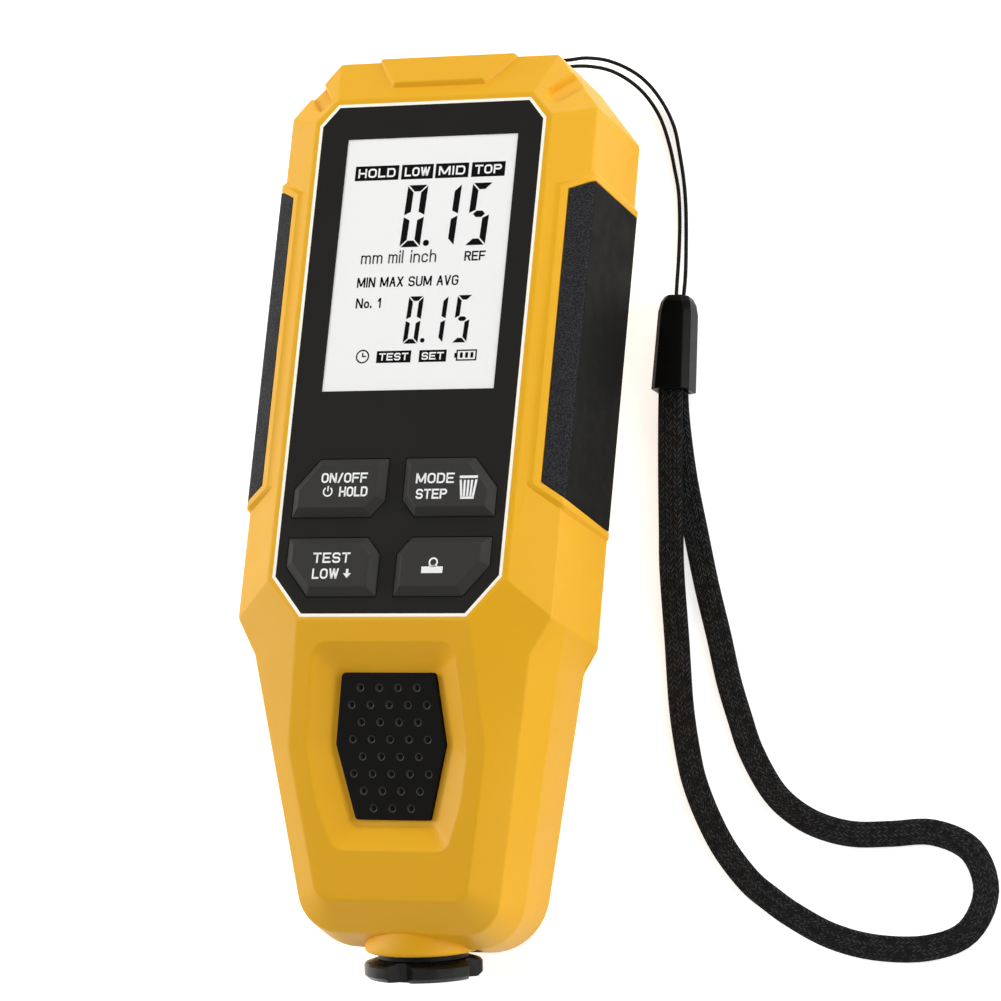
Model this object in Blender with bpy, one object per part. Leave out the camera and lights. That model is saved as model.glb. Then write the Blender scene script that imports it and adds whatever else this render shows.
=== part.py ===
"""Handheld coating thickness gauge with a bent body, a built-in probe and a wrist strap.

Sizes are in millimetres and MM turns them into Blender's metres. The gauge is drawn in its own frame:
x across, y towards the strap end, z out of the display, with z = 0 on the front face. Below the fold
line the body leans back, and that part is drawn in the handle frame: the same x, y up the handle from
the fold line and z out of the handle's front. The whole gauge is then laid on its back.
"""

import math

import bmesh
import bpy
from mathutils import Matrix, Vector

MM = 0.001
GAP = 0.3  # clearance between pieces that touch or slide

# Body
FOLD_Y = -38.4  # fold line between display part and handle
BEND = math.radians(19.1)  # how far the handle leans back
LIP_TOP = (16.05, 43.85)  # front face, end of the top edge
LIP_SIDE = (19.3, 40.35)  # front face, top end of the side
LIP_LOW = (19.3, -32.35)  # front face, low end of the side
LIP_FOLD_X = 13.8  # front face, half width at the fold line
RIDGE_Z = -4.0  # depth of the ridge round the front facets
TOP_RUN = 7.55  # how far the top facet runs out past the lip
RIDGE_TOP = (17.95, LIP_TOP[1] + TOP_RUN)
RIDGE_SIDE = (25.2, 42.6)
WAIST = (25.36, -37.07)
BREAK_Z = -9.6  # second ridge, seen on the handle
PART_Z = -22.0  # parting line of the two shells
SPARE = 3.0  # what the front shell is made deeper by, before it is cut at the parting line
PART_FLARE = 0.25  # draft of the side walls down to the parting line
WAIST_FLARE = 0.65
BACK_Z = -28.0
BACK_INSET = 4.6
EDGE_DROP = 1.9  # height of the steep band next to the parting line
EDGE_INSET = 0.7

# Handle outlines: (half width high, its y, half width low, its y, end y, corner radius, depth)
HANDLE_FRONT = (15.8, -19.0, 12.3, -40.3, -41.9, 2.5, 0.0)
HANDLE_RIDGE = (22.2, -5.5, 16.6, -40.3, -47.3, 6.0, -3.1)
HANDLE_BREAK = (23.95, -8.7, 18.2, -40.5, -50.2, 8.0, -9.6)
HANDLE_PART_Z = -19.9
PART_FOLD_Y = (PART_Z - HANDLE_PART_Z * math.cos(BEND)) / math.sin(BEND)
HANDLE_PART = (24.15, PART_FOLD_Y, 18.27, -40.2, -52.2, 10.0, HANDLE_PART_Z)
HANDLE_RIDGE_END_Z = -3.9
HANDLE_BACK_LOW_Z = -23.6  # the handle's back rises towards the probe
CORNER_STEPS = 5

# Lanyard pocket in the top end wall
LOOP_X = 8.0
LOOP_Z = -17.0
LOOP_BAR_R = 1.0
LOOP_BAR_IN = 1.7  # from the top ridge to the bar's axis
LOOP_HALF = 3.6
LOOP_HALF_HIGH = 3.0
LOOP_DEEP = 5.6
CORD_D = 0.6

# Room inside
CAVITY_TOP_Z = -3.05
CAVITY_TOP_HALF = 17.3
CAVITY_SHOULDER_Z = -7.0
CAVITY_SIDE = 21.9
CAVITY_WALL = 1.4  # between the lanyard pocket and the room
CAVITY_TOP_Y = RIDGE_TOP[1] - LOOP_DEEP - CAVITY_WALL
CAVITY_LOW_Y = -36.0
CAVITY_CUT = 5.0  # cut-off corners at the top end
HANDLE_CAVITY = (13.4, -4.0, 10.6, -39.5, -5.6)  # half width and y high, half width and y low, roof z

# Boss and notches of the top end
BOSS_HALF_OUT = 11.7
BOSS_HALF_IN = 7.9
BOSS_RISE = 0.8
BOSS_SLOPE = 0.65
BOSS_START = 2.2  # from the lip, along the facet
NOTCH_WIDTH = 2.9
NOTCH_LENGTH = 5.2
NOTCH_DEPTH = 1.2

# Panel, display and keys
PANEL_TOP = (LIP_TOP[0] - 0.5, LIP_TOP[1] - 1.21)
PANEL_SIDE = (LIP_SIDE[0] - 1.2, LIP_SIDE[1] - 0.75)
PANEL_LOW = (LIP_LOW[0] - 1.3, LIP_LOW[1] + 0.62)
PANEL_END = (LIP_FOLD_X - 0.63, FOLD_Y + 0.9)
TRIM = 0.48  # white trim round the black field
PANEL_THICK = 1.0
PANEL_SINK = 0.05
LCD_HALF = 14.0
LCD_TOP = 37.33
LCD_LOW = -2.87
LCD_GLASS_MARGIN = 1.2
LCD_GLASS = 2.1
KEY_IN = 1.4
KEY_OUT = 16.35
KEY_MID_Y = -24.24
KEY_ROW_GAP = 3.18
KEY_HIGH = 9.05
KEY_BIG = (3.85, 4.6)
KEY_SMALL = (2.15, 2.55)
KEY_RISE = 1.15
KEY_BEVEL = 1.25
KEY_TRAVEL = 0.6
KEY_SKIRT = 1.3  # depth of the key below the panel face
KEY_STEM = 2.2
KEY_STEM_LONG = 1.2
DOME_TOP_R = 1.9
DOME_LOW_R = 2.6
DOME_HIGH = 1.0
MAT_THICK = 1.0

# Board and what is on it
BOARD_Z = -8.0
BOARD_THICK = 1.6
BOARD_HALF = 17.6
BOARD_TOP = 32.5
BOARD_LOW = -34.6
CHIP_HALF = 4.0
CHIP_Y = 12.0
CHIP_HIGH = 1.2
SWITCH_HALF = 2.2
BUZZER_R = 4.6
BUZZER_HIGH = 3.2
BUZZER_IN = (8.1, 9.6)  # its centre from the board's side and low end

# Grips and thumb pad
GRIP_IN_X = 22.5
GRIP_OUT_X = 25.9
GRIP_TOP = 30.9
GRIP_LOW = -19.1
GRIP_TAPER = 0.6  # how much shorter the grip gets per millimetre inwards
GRIP_THICK = 1.7
GRIP_RISE = 0.5
GRIP_DRAFT = 0.3
GRIP_RIM = 1.5
GRIP_RIM_RISE = 0.45
PAD = ((7.5, -8.2), (8.8, -18.8), (6.0, -30.0))
PAD_Z = -1.75
PAD_THICK = 1.5
PAD_CORNER_R = 0.55
RECESS = ((11.15, -3.5), (12.8, -19.3), (11.55, -26.8), (9.1, -34.2))
RECESS_RADII = (2.5, 12.0, 12.0, 2.3)
RECESS_FLOOR_Z = -2.35
RECESS_FLOOR_RADII = (1.0, 4.0, 4.0, 1.0)
RECESS_FLOOR_MARGIN = 0.9  # round the pad
DIMPLE_ROWS = (4, 5, 4, 5, 4, 5, 4, 3)
DIMPLE_PITCH = 3.02
DIMPLE_ROW_PITCH = 2.57
DIMPLE_START = 2.1  # from the pad's upper edge to the first row
DIMPLE_R = 0.52
DIMPLE_DEPTH = 0.4
DIMPLE_STEPS = 8

# Probe, along the handle
AXIS_Z = -12.0
RING_INSET = 0.3
RING_HIGH = 0.65
FOOT_R = 8.95
FOOT_TOP = HANDLE_PART[4] + 0.45
FOOT_HIGH = 2.85
NECK_R = 7.9
NECK_WIDE_R = 8.5
NECK_END_R = 7.0
NECK_END = FOOT_TOP + RING_HIGH
NECK_WIDEST = NECK_END + 1.1
NECK_FLARE = NECK_WIDEST + 3.2  # where the neck starts to widen
NECK_TOP = NECK_FLARE + 4.8
FOOT_NOTCH = 5.2
FOOT_NOTCH_DEPTH = 1.7
TIP_R = 2.6
TIP_PROUD = 0.7
TIP_LONG = 3.2  # how far its wide part reaches up from the foot
STEM_R = 1.5
STEM_PAST = 4.0  # how far the stem reaches past the neck
COIL_HIGH = 2.2
PROBE_BORE = 4.4
SPRING_WIRE = 0.5
SPRING_TURNS = 4

# Cells and battery door
CELL_R = 5.25
CELL_LENGTH = 43.3
NUB_R = 1.9
NUB = 1.2
CELL_X = 5.6
CELL_Z = -20.65
CELL_SPRING_ROOM = 4.5
CONTACT = 0.4
CONTACT_PAST = 4.0  # how far the contact plates reach past the cells' axes
TRAY_WALL = 1.4
TRAY_MID = 10.3
TRAY_HALF = (CELL_LENGTH + NUB + CELL_SPRING_ROOM) / 2 + GAP + CONTACT
TRAY_LOW = TRAY_MID - TRAY_HALF
TRAY_TOP = TRAY_MID + TRAY_HALF
DOOR_HALF = 13.5
DOOR_LAP = 6.1  # how far the door reaches past the cells' room
DOOR_LOW = TRAY_LOW - DOOR_LAP
DOOR_TOP = RIDGE_TOP[1] + PART_FLARE - BACK_INSET
DOOR_KEEP = 0.8  # how far the edges undercut the cover
DOOR_THICK = 1.5
DOOR_SINK = 0.3

# Screws: heads in the back, shanks in bosses of the front shell
SCREW_TOP = (17.9, 38.3)
SCREW_LOW = (10.4, -33.5)
SCREW_R = 1.25
SCREW_HEAD_R = 2.4
SCREW_HEAD = 1.9
SCREW_SINK = 0.5
SCREW_LENGTH = 9.0
BOSS_R = 3.2

# The strap lies on the table, so it is placed after the gauge. Table positions in millimetres.
CLASP_Y = (22.4, 37.2)
CLASP_X = 31.85
CLASP_HIGH = 4.9
CLASP_CHAMFER = 0.95
CLASP_SHAPE = ((0.0, 3.05, 0.0), (12.2, 2.68, 0.0), (13.8, 2.4, 0.2), (14.8, 1.9, 0.6))
WEB_WIDTH = 3.9
WEB_THICK = 1.2
WEB_SLOT = (2.75, 0.55, 3.65, 4.2)  # half width, low z, high z, depth
CORD_SLOT = (1.1, 1.6, 2.9, 3.0)
BAR_PLACE = (67.72, 10.75)  # y and z of the lanyard bar once the gauge lies on its back
CORD_OUTER = (
    (6.7, 70.5, 10.4),
    (8.6, 73.2, 9.8),
    (11.3, 74.4, 9.2),
    (13.8, 74.3, 8.5),
    (16.1, 74.7, 7.0),
    (18.9, 74.6, 4.8),
    (21.9, 73.3, 2.8),
    (24.2, 71.5, 1.4),
    (26.4, 68.5, 0.6),
    (28.4, 64.9, 0.35),
    (29.9, 60.6, 0.35),
    (30.9, 55.9, 0.35),
    (31.5, 51.2, 0.35),
    (32.0, 45.0, 0.7),
    (32.5, 40.5, 1.7),
    (32.6, 37.4, 2.25),
    (32.6, 35.0, 2.25),
)
CORD_INNER = (
    (9.6, 70.4, 10.4),
    (11.8, 72.1, 9.9),
    (14.6, 72.8, 9.1),
    (17.1, 73.2, 7.2),
    (19.6, 72.8, 5.0),
    (22.2, 71.3, 3.0),
    (24.5, 69.1, 1.5),
    (26.5, 65.9, 0.6),
    (28.3, 62.0, 0.35),
    (29.3, 58.4, 0.35),
    (30.1, 54.4, 0.35),
    (30.6, 49.2, 0.35),
    (30.9, 44.0, 0.8),
    (31.2, 40.3, 1.7),
    (31.4, 37.4, 2.25),
    (31.4, 35.0, 2.25),
)
WEB_ROUTE = (
    (31.6, 25.6, 2.85),
    (31.65, 22.0, 2.8),
    (31.75, 17.0, 2.45),
    (32.1, 9.0, 2.05),
    (32.7, 1.0, 2.05),
    (33.1, -5.3, 1.8),
    (34.2, -16.0, 0.75),
    (35.5, -26.3, 0.6),
    (37.2, -34.1, 0.6),
    (38.6, -38.4, 0.6),
    (41.0, -43.4, 0.6),
    (43.9, -48.0, 0.6),
    (47.8, -52.4, 0.6),
    (51.1, -54.9, 0.6),
    (55.0, -57.4, 0.6),
    (61.0, -60.3, 0.6),
    (68.0, -61.9, 0.6),
    (76.0, -61.8, 0.6),
    (82.0, -59.3, 0.6),
    (84.5, -53.3, 0.6),
    (82.0, -47.3, 0.6),
    (76.0, -44.7, 0.6),
    (69.5, -45.0, 0.6),
    (63.5, -45.1, 0.6),
    (58.0, -43.8, 0.6),
    (53.6, -41.4, 0.6),
    (50.3, -38.2, 0.6),
    (46.9, -32.7, 0.6),
    (44.9, -27.8, 0.6),
    (42.8, -22.1, 0.6),
    (40.9, -15.5, 0.6),
    (38.4, -7.4, 0.6),
    (36.2, 0.7, 0.6),
    (34.0, 9.0, 0.62),
    (32.5, 17.0, 0.9),
    (32.0, 22.0, 1.35),
    (31.9, 25.6, 1.35),
)

MATERIALS = {}


def material(name, colour, roughness, metallic=0.0):
    """One Principled material per finish, made once."""
    if name not in MATERIALS:
        made = bpy.data.materials.new(name)
        made.use_nodes = True
        shader = made.node_tree.nodes["Principled BSDF"]
        shader.inputs["Base Color"].default_value = (*colour, 1.0)
        shader.inputs["Roughness"].default_value = roughness
        shader.inputs["Metallic"].default_value = metallic
        MATERIALS[name] = made
    return MATERIALS[name]


def yellow():
    return material("yellow_plastic", (0.86, 0.50, 0.03), 0.45)


def black_rubber():
    return material("black_rubber", (0.03, 0.03, 0.032), 0.6)


def black_plastic():
    return material("black_plastic", (0.02, 0.02, 0.02), 0.3)


def steel():
    return material("steel", (0.6, 0.6, 0.62), 0.3, 1.0)


def make(name, points, faces, finish, parent):
    """A mesh object from points in millimetres, with its faces turned outwards."""
    mesh = bpy.data.meshes.new(name)
    mesh.from_pydata([Vector(p) * MM for p in points], [], faces)
    work = bmesh.new()
    work.from_mesh(mesh)
    bmesh.ops.triangulate(work, faces=work.faces)
    bmesh.ops.recalc_face_normals(work, faces=work.faces)
    work.to_mesh(mesh)
    work.free()
    mesh.materials.append(finish)
    made = bpy.data.objects.new(name, mesh)
    bpy.context.collection.objects.link(made)
    made.parent = parent
    return made


def loft(name, rings, finish, parent, first_caps=None, last_caps=None):
    """Joins closed rings of equal length. A cap is a list of faces given as indices into its ring."""
    count = len(rings[0])
    points = [p for ring in rings for p in ring]
    faces = []
    for level in range(len(rings) - 1):
        low, high = level * count, (level + 1) * count
        for i in range(count):
            j = (i + 1) % count
            faces.append((low + i, high + i, high + j, low + j))
    last = (len(rings) - 1) * count
    for cap in first_caps or [list(range(count))]:
        faces.append(tuple(cap))
    for cap in last_caps or [list(range(count))]:
        faces.append(tuple(last + i for i in reversed(cap)))
    return make(name, points, faces, finish, parent)


def prism(name, outline, z_top, z_low, finish, parent):
    """A straight prism of an outline that runs clockwise seen from +z."""
    rings = [[(x, y, z) for x, y in outline] for z in (z_top, z_low)]
    return loft(name, rings, finish, parent)


def block(name, x, y, z, finish, parent):
    """A box from its (low, high) pairs."""
    outline = [(x[0], y[1]), (x[1], y[1]), (x[1], y[0]), (x[0], y[0])]
    return prism(name, outline, z[1], z[0], finish, parent)


def turned(name, profile, place, finish, parent, steps=32):
    """Turns (radius, distance) pairs about an axis. The distances run outwards along place's +z."""
    rings = []
    for radius, along in profile:
        turn = [2 * math.pi * i / steps for i in range(steps)]
        rings.append([place @ Vector((radius * math.cos(a), -radius * math.sin(a), along)) for a in turn])
    rings.reverse()
    return loft(name, rings, finish, parent)


def wire(name, points, radius, finish, parent, sides=2):
    """A closed tube along points in millimetres."""
    curve = bpy.data.curves.new(name, "CURVE")
    curve.dimensions = "3D"
    curve.bevel_depth = radius * MM
    curve.bevel_resolution = sides
    curve.use_fill_caps = True
    spline = curve.splines.new("POLY")
    spline.points.add(len(points) - 1)
    for point, place in zip(spline.points, points):
        point.co = (*(Vector(place) * MM), 1.0)
    curve.materials.append(finish)
    made = bpy.data.objects.new(name, curve)
    bpy.context.collection.objects.link(made)
    made.parent = parent
    return made


def combine(target, helper, operation="DIFFERENCE"):
    """Cuts with a helper, or adds it, and hides the helper."""
    helper.hide_render = True
    helper.display_type = "WIRE"
    step = target.modifiers.new(helper.name, "BOOLEAN")
    step.operation = operation
    step.object = helper
    step.solver = "EXACT"


def mirrored(half):
    """A whole ring from its right half, which runs from the top centre clockwise to the low end."""
    return list(half) + [(-p[0], *p[1:]) for p in reversed(half)]


def mirrored_radii(radii):
    """The corner radii of a whole ring from those of its right half."""
    return list(radii) + list(reversed(radii))


def offset(outline, distance):
    """Moves each edge of a clockwise outline outwards."""
    moved = []
    count = len(outline)
    for i in range(count):
        before, here, after = (Vector(outline[(i + k) % count]) for k in (-1, 0, 1))
        into, out = (here - before).normalized(), (after - here).normalized()
        normals = Vector((-into.y, into.x)), Vector((-out.y, out.x))
        middle = (normals[0] + normals[1]).normalized()
        moved.append(tuple(here + middle * distance / middle.dot(normals[0])))
    return moved


def rounded(outline, radii, steps=3):
    """Rounds the corners of a clockwise outline, each by its own radius."""
    points = []
    count = len(outline)
    for i in range(count):
        before, here, after = (Vector(outline[(i + k) % count]) for k in (-1, 0, 1))
        points += corner(before, here, after, radii[i], steps)
    return points


def corner(before, here, after, radius, steps):
    """The points of the arc that rounds one corner."""
    back, ahead = (before - here).normalized(), (after - here).normalized()
    half = back.angle(ahead) / 2
    reach = radius / math.tan(half)
    centre = here + (back + ahead).normalized() * radius / math.sin(half)
    start, end = here + back * reach - centre, here + ahead * reach - centre
    sweep = start.angle_signed(end)
    arc = [start.copy() for _ in range(steps + 1)]
    for k, spoke in enumerate(arc):
        spoke.rotate(Matrix.Rotation(-sweep * k / steps, 2))
    return [tuple(centre + spoke) for spoke in arc]


def handle_half(outline, end_z=None):
    """Right half of a handle outline: side points, then the rounded corner at the probe end."""
    x_high, y_high, x_low, y_low, y_end, radius, z = outline
    slope = (x_low - x_high) / (y_low - y_high)
    corner_x = x_high + slope * (y_end - y_high)
    side = Vector((x_high, y_high))
    arc = corner(side, Vector((corner_x, y_end)), Vector((0.0, y_end)), radius, CORNER_STEPS)
    middle_y = (y_high + arc[0][1]) / 2
    flat = [(x_high, y_high), (x_high + slope * (middle_y - y_high), middle_y)] + arc
    depth_end = z if end_z is None else end_z
    share = [0.0, 0.0] + [k / CORNER_STEPS for k in range(CORNER_STEPS + 1)]
    return [(x, y, z + (depth_end - z) * t) for (x, y), t in zip(flat, share)]


def to_body(point):
    """From the handle frame to the gauge frame."""
    x, y, z = point
    return (
        x,
        FOLD_Y + y * math.cos(BEND) - z * math.sin(BEND),
        y * math.sin(BEND) + z * math.cos(BEND),
    )


def body_ring(top, side, waist, z, handle, waist_z=None, end_z=None):
    """One closed outline of the whole body, from the display part round the handle."""
    upper = [(*top, z), (*side, z), (*waist, z if waist_z is None else waist_z)]
    return mirrored(upper + [to_body(p) for p in handle_half(handle, end_z)])


def bent_caps(count):
    """Two flat faces of a bent ring, that meet on a line across it."""
    half = count // 2
    fold = half - len(handle_half(HANDLE_FRONT))
    upper = list(range(fold + 1)) + list(range(count - 1 - fold, count))
    lower = list(range(fold, half)) + list(range(half, count - fold))
    return [upper, lower]


def part_outlines():
    """The points of the parting line: top, side and waist."""
    top = (RIDGE_TOP[0] + 0.1, RIDGE_TOP[1] + PART_FLARE)
    side = (RIDGE_SIDE[0] + PART_FLARE, RIDGE_SIDE[1] + 0.1)
    waist = (WAIST[0] + WAIST_FLARE, WAIST[1])
    return top, side, waist


def seam_form(name, top, low, frame):
    """A bent slab across the whole gauge, from one distance over the parting line to another."""
    profile = []
    for lift, order in ((top, 1), (low, -1)):
        fold = HANDLE_PART[1] + math.tan(BEND / 2) * lift
        far = to_body((0.0, HANDLE_PART[4] - 4 * SPARE, HANDLE_PART[-1] + lift))
        bend = to_body((0.0, fold, HANDLE_PART[-1] + lift))
        line = [(RIDGE_TOP[1] + 4 * SPARE, PART_Z + lift), bend[1:], far[1:]]
        profile += line[::order]
    half = WAIST[0] + 4 * SPARE
    return loft(name, [[(x, y, z) for y, z in profile] for x in (half, -half)], yellow(), frame)


def front_ring():
    """The edge of the flat front face, above and below the fold line."""
    handle = handle_half(HANDLE_FRONT)
    handle[1] = handle[0]
    handle[0] = (LIP_FOLD_X, 0.0, 0.0)
    upper = [(*LIP_TOP, 0.0), (*LIP_SIDE, 0.0), (*LIP_LOW, 0.0)]
    return mirrored(upper + [to_body(p) for p in handle])


def facet_point(along, x, rise):
    """A point on the top facet: along from the lip, x across, rise out of the facet."""
    run, drop = RIDGE_TOP[1] - LIP_TOP[1], RIDGE_Z
    length = math.hypot(run, drop)
    y = LIP_TOP[1] + along * run / length - rise * drop / length
    return (x, y, along * drop / length + rise * run / length)


def add_top_boss(shell, gauge):
    """The raised trapezoid in the middle of the top facet."""
    run = math.hypot(RIDGE_TOP[1] - LIP_TOP[1], RIDGE_Z)
    edges = ((BOSS_START, BOSS_HALF_IN), (run - 0.05, BOSS_HALF_OUT))
    rings = []
    for rise, shrink in ((BOSS_RISE, BOSS_SLOPE), (-1.2, -0.4)):
        (low, half_low), (high, half_high) = edges
        rings.append(
            [
                facet_point(high, -half_high + shrink, rise),
                facet_point(high, half_high - shrink, rise),
                facet_point(low + shrink, half_low - shrink, rise),
                facet_point(low + shrink, -half_low + shrink, rise),
            ]
        )
    combine(shell, loft("boss_form", rings, yellow(), gauge), "UNION")


def cut_notches(shell, gauge):
    """A round-ended notch in each corner facet, open at the outer edge."""
    outer = (Vector(RIDGE_TOP) + Vector(RIDGE_SIDE)) / 2
    inner = (Vector(LIP_TOP) + Vector(LIP_SIDE)) / 2
    inward = (inner - outer).normalized()
    fall = RIDGE_Z / (inner - outer).length
    across = Vector((-inward.y, inward.x))
    half = NOTCH_WIDTH / 2
    for side in (-1, 1):
        outline = []
        for step in range(7):
            turn = math.pi * step / 6
            spot = outer + inward * (NOTCH_LENGTH - half + half * math.sin(turn))
            outline.append(spot + across * half * math.cos(turn))
        outline += [outer - inward * 3 - across * half, outer - inward * 3 + across * half]
        rings = []
        for lift in (3.0, -NOTCH_DEPTH):
            ring = []
            for spot in outline:
                along = (spot - outer).dot(inward)
                ring.append((side * spot.x, spot.y, RIDGE_Z - fall * along + lift))
            rings.append(ring if side > 0 else ring[::-1])
        combine(shell, loft(f"notch_form_{side}", rings, yellow(), gauge))


def grip_end(x, y_edge):
    """The grip's ends slope, so that it is shorter towards the panel."""
    return y_edge + math.copysign(GRIP_TAPER, y_edge) * (x - GRIP_OUT_X)


def facet_z(x):
    """Depth of the side facet at x."""
    share = (x - LIP_SIDE[0]) / (RIDGE_SIDE[0] - LIP_SIDE[0])
    return share * RIDGE_Z


def grip_form(name, side, grow, rise, sink, low_z, finish, gauge):
    """The wrap over facet and side wall: grow widens its outline, rise and sink are out and in."""
    top, low = GRIP_TOP + grow, GRIP_LOW - grow
    x_in, x_out = GRIP_IN_X - grow, GRIP_OUT_X + rise - GRIP_RISE
    lift = rise * 1.2
    section = [
        (x_in, facet_z(x_in) + lift),
        (x_out - 0.5, facet_z(x_out - 0.5) + lift),
        (x_out, facet_z(x_out) + lift - 0.3),
        (x_out + GRIP_DRAFT, low_z),
        (x_out + GRIP_DRAFT - sink - rise, low_z),
        (x_out - sink - rise, RIDGE_Z - sink),
        (x_in, facet_z(x_in) - sink),
    ]
    rings = [[(side * x, grip_end(x, y), z) for x, z in section] for y in (top, low)]
    if side > 0:
        rings.reverse()
    return loft(name, rings, finish, gauge)


def cut_lanyard_pocket(shell, gauge):
    """A pocket in the top end wall with a bar across it for the strap's cord."""
    mouth = RIDGE_TOP[1] + 2.0
    pocket = block(
        "lanyard_form",
        (LOOP_X - LOOP_HALF, LOOP_X + LOOP_HALF),
        (RIDGE_TOP[1] - LOOP_DEEP, mouth),
        (LOOP_Z - LOOP_HALF_HIGH, LOOP_Z + LOOP_HALF_HIGH),
        yellow(),
        gauge,
    )
    combine(shell, pocket)
    place = Matrix.Translation((LOOP_X, RIDGE_TOP[1] - LOOP_BAR_IN, 0.0))
    ends = (LOOP_Z - LOOP_HALF_HIGH - 0.6, LOOP_Z + LOOP_HALF_HIGH + 0.6)
    bar = turned("lanyard_bar_form", [(LOOP_BAR_R, z) for z in ends], place, yellow(), gauge, 16)
    combine(shell, bar, "UNION")


def probe_place():
    """Axis of the probe in the handle frame: +z of the turned pieces points out of the gauge."""
    return Matrix.Translation((0.0, 0.0, AXIS_Z)) @ Matrix.Rotation(math.radians(90), 4, "X")


def probe_cut(name, radius, finish, handle, steps=24):
    """A round hole along the whole probe."""
    ends = (-NECK_TOP - SPARE, FOOT_HIGH - FOOT_TOP + SPARE)
    return turned(name, [(radius, along) for along in ends], probe_place(), finish, handle, steps)


def probe_bore(name, handle):
    """The hole that the probe's neck is held in, half in each shell. It widens as the neck does."""
    profile = [
        (NECK_R + GAP, -NECK_TOP - SPARE),
        (NECK_R + GAP, -NECK_FLARE),
        (NECK_WIDE_R + GAP, -NECK_WIDEST),
        (NECK_WIDE_R + GAP, FOOT_HIGH - FOOT_TOP + SPARE),
    ]
    return turned(name, profile, probe_place(), yellow(), handle)


def build_front_shell(gauge, handle):
    top, side, waist = part_outlines()
    middle = (BREAK_Z - RIDGE_Z) / (PART_Z - RIDGE_Z)
    break_points = [
        tuple(a + (b - a) * middle for a, b in zip(low, high))
        for low, high in ((RIDGE_TOP, top), (RIDGE_SIDE, side), (WAIST, waist))
    ]
    rings = [
        front_ring(),
        body_ring(RIDGE_TOP, RIDGE_SIDE, WAIST, RIDGE_Z, HANDLE_RIDGE, RIDGE_Z - 0.2, HANDLE_RIDGE_END_Z),
        body_ring(*break_points, BREAK_Z, HANDLE_BREAK),
        body_ring(top, side, waist, PART_Z, HANDLE_PART),
    ]
    reach = 1.0 + SPARE / (BREAK_Z - PART_Z)
    rings[-1] = [Vector(a).lerp(Vector(b), reach) for a, b in zip(rings[-2], rings[-1])]
    caps = bent_caps(len(rings[0]))
    shell = loft("front_shell", rings, yellow(), gauge, caps, caps)
    add_top_boss(shell, gauge)
    for hand in (-1, 1):
        low = PART_Z - SPARE + 1.0
        rim = grip_form(f"rim_form_{hand}", hand, GRIP_RIM, GRIP_RIM_RISE, 0.6, low, yellow(), gauge)
        combine(shell, rim, "UNION")
    hollow_front_shell(shell, gauge, handle)
    cut_notches(shell, gauge)
    for hand in (-1, 1):
        thick, low = GRIP_THICK + GAP, PART_Z - SPARE - 1.0
        combine(shell, grip_form(f"grip_pocket_{hand}", hand, GAP / 2, 3.0, thick, low, yellow(), gauge))
    cut_lanyard_pocket(shell, gauge)
    combine(shell, seam_form("seam_below", 0.0, -4 * SPARE, gauge))
    return shell


def hollow_front_shell(shell, gauge, handle):
    """The room inside, the panel's seat, the display and key windows, and the handle's recess."""
    seat = offset(panel_outline(), TRIM + GAP)
    combine(shell, prism("panel_seat", seat, 2.0, -PANEL_THICK - PANEL_SINK - GAP, yellow(), gauge))
    upper = []
    for z, side, top, low in (
        (CAVITY_TOP_Z, CAVITY_TOP_HALF, CAVITY_TOP_Y - 3.4, CAVITY_LOW_Y + 2.0),
        (CAVITY_SHOULDER_Z, CAVITY_SIDE, CAVITY_TOP_Y, CAVITY_LOW_Y),
        (PART_Z - 4 * SPARE, CAVITY_SIDE, CAVITY_TOP_Y, CAVITY_LOW_Y),
    ):
        half = [(side - CAVITY_CUT, top, z), (side, top - CAVITY_CUT, z), (side, low, z)]
        upper.append(mirrored(half))
    combine(shell, loft("cavity_form", upper, yellow(), gauge))
    x_high, y_high, x_low, y_low, roof = HANDLE_CAVITY
    room = mirrored([(x_high, 1.0), (x_high, y_high), (x_low, y_low)])
    handle_rings = [[(x, y, z) for x, y in room] for z in (roof, HANDLE_PART_Z - 4 * SPARE)]
    combine(shell, loft("handle_cavity_form", handle_rings, yellow(), handle))
    margin = LCD_GLASS_MARGIN + GAP
    display = [(LCD_HALF + margin, LCD_TOP + margin), (LCD_HALF + margin, LCD_LOW - margin)]
    reach = KEY_ROW_GAP / 2 + KEY_HIGH + 0.5
    wide, high, low = KEY_OUT + 0.5, KEY_MID_Y + reach, KEY_MID_Y - reach
    keys = [(wide, high), (wide, low + KEY_BIG[1]), (wide - KEY_BIG[0], low)]
    for name, half in (("display_window_form", display), ("key_window_form", keys)):
        combine(shell, prism(name, mirrored(half), 1.0, CAVITY_TOP_Z - 1.0, yellow(), gauge))
    add_screw_bosses(shell, gauge, handle)
    cut_thumb_recess(shell, handle)
    combine(shell, probe_bore("shell_bore_form", handle))


def add_screw_bosses(shell, gauge, handle):
    """Four bosses with pilot holes, that end at the parting line."""
    for hand in (-1, 1):
        for label, spot, frame, top, low in (
            ("top", SCREW_TOP, gauge, CAVITY_SHOULDER_Z + 1.5, PART_Z),
            ("low", SCREW_LOW, handle, HANDLE_CAVITY[4] + 1.0, HANDLE_PART[-1]),
        ):
            place = Matrix.Translation((hand * spot[0], spot[1], 0.0))
            ends = [(BOSS_R, low - 1.5), (BOSS_R, top)]
            combine(shell, turned(f"boss_{label}_{hand}", ends, place, yellow(), frame, 20), "UNION")
            ends = [(SCREW_R + GAP, low - 4.0), (SCREW_R + GAP, low + SCREW_LENGTH)]
            combine(shell, turned(f"pilot_{label}_{hand}", ends, place, yellow(), frame, 12))


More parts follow.
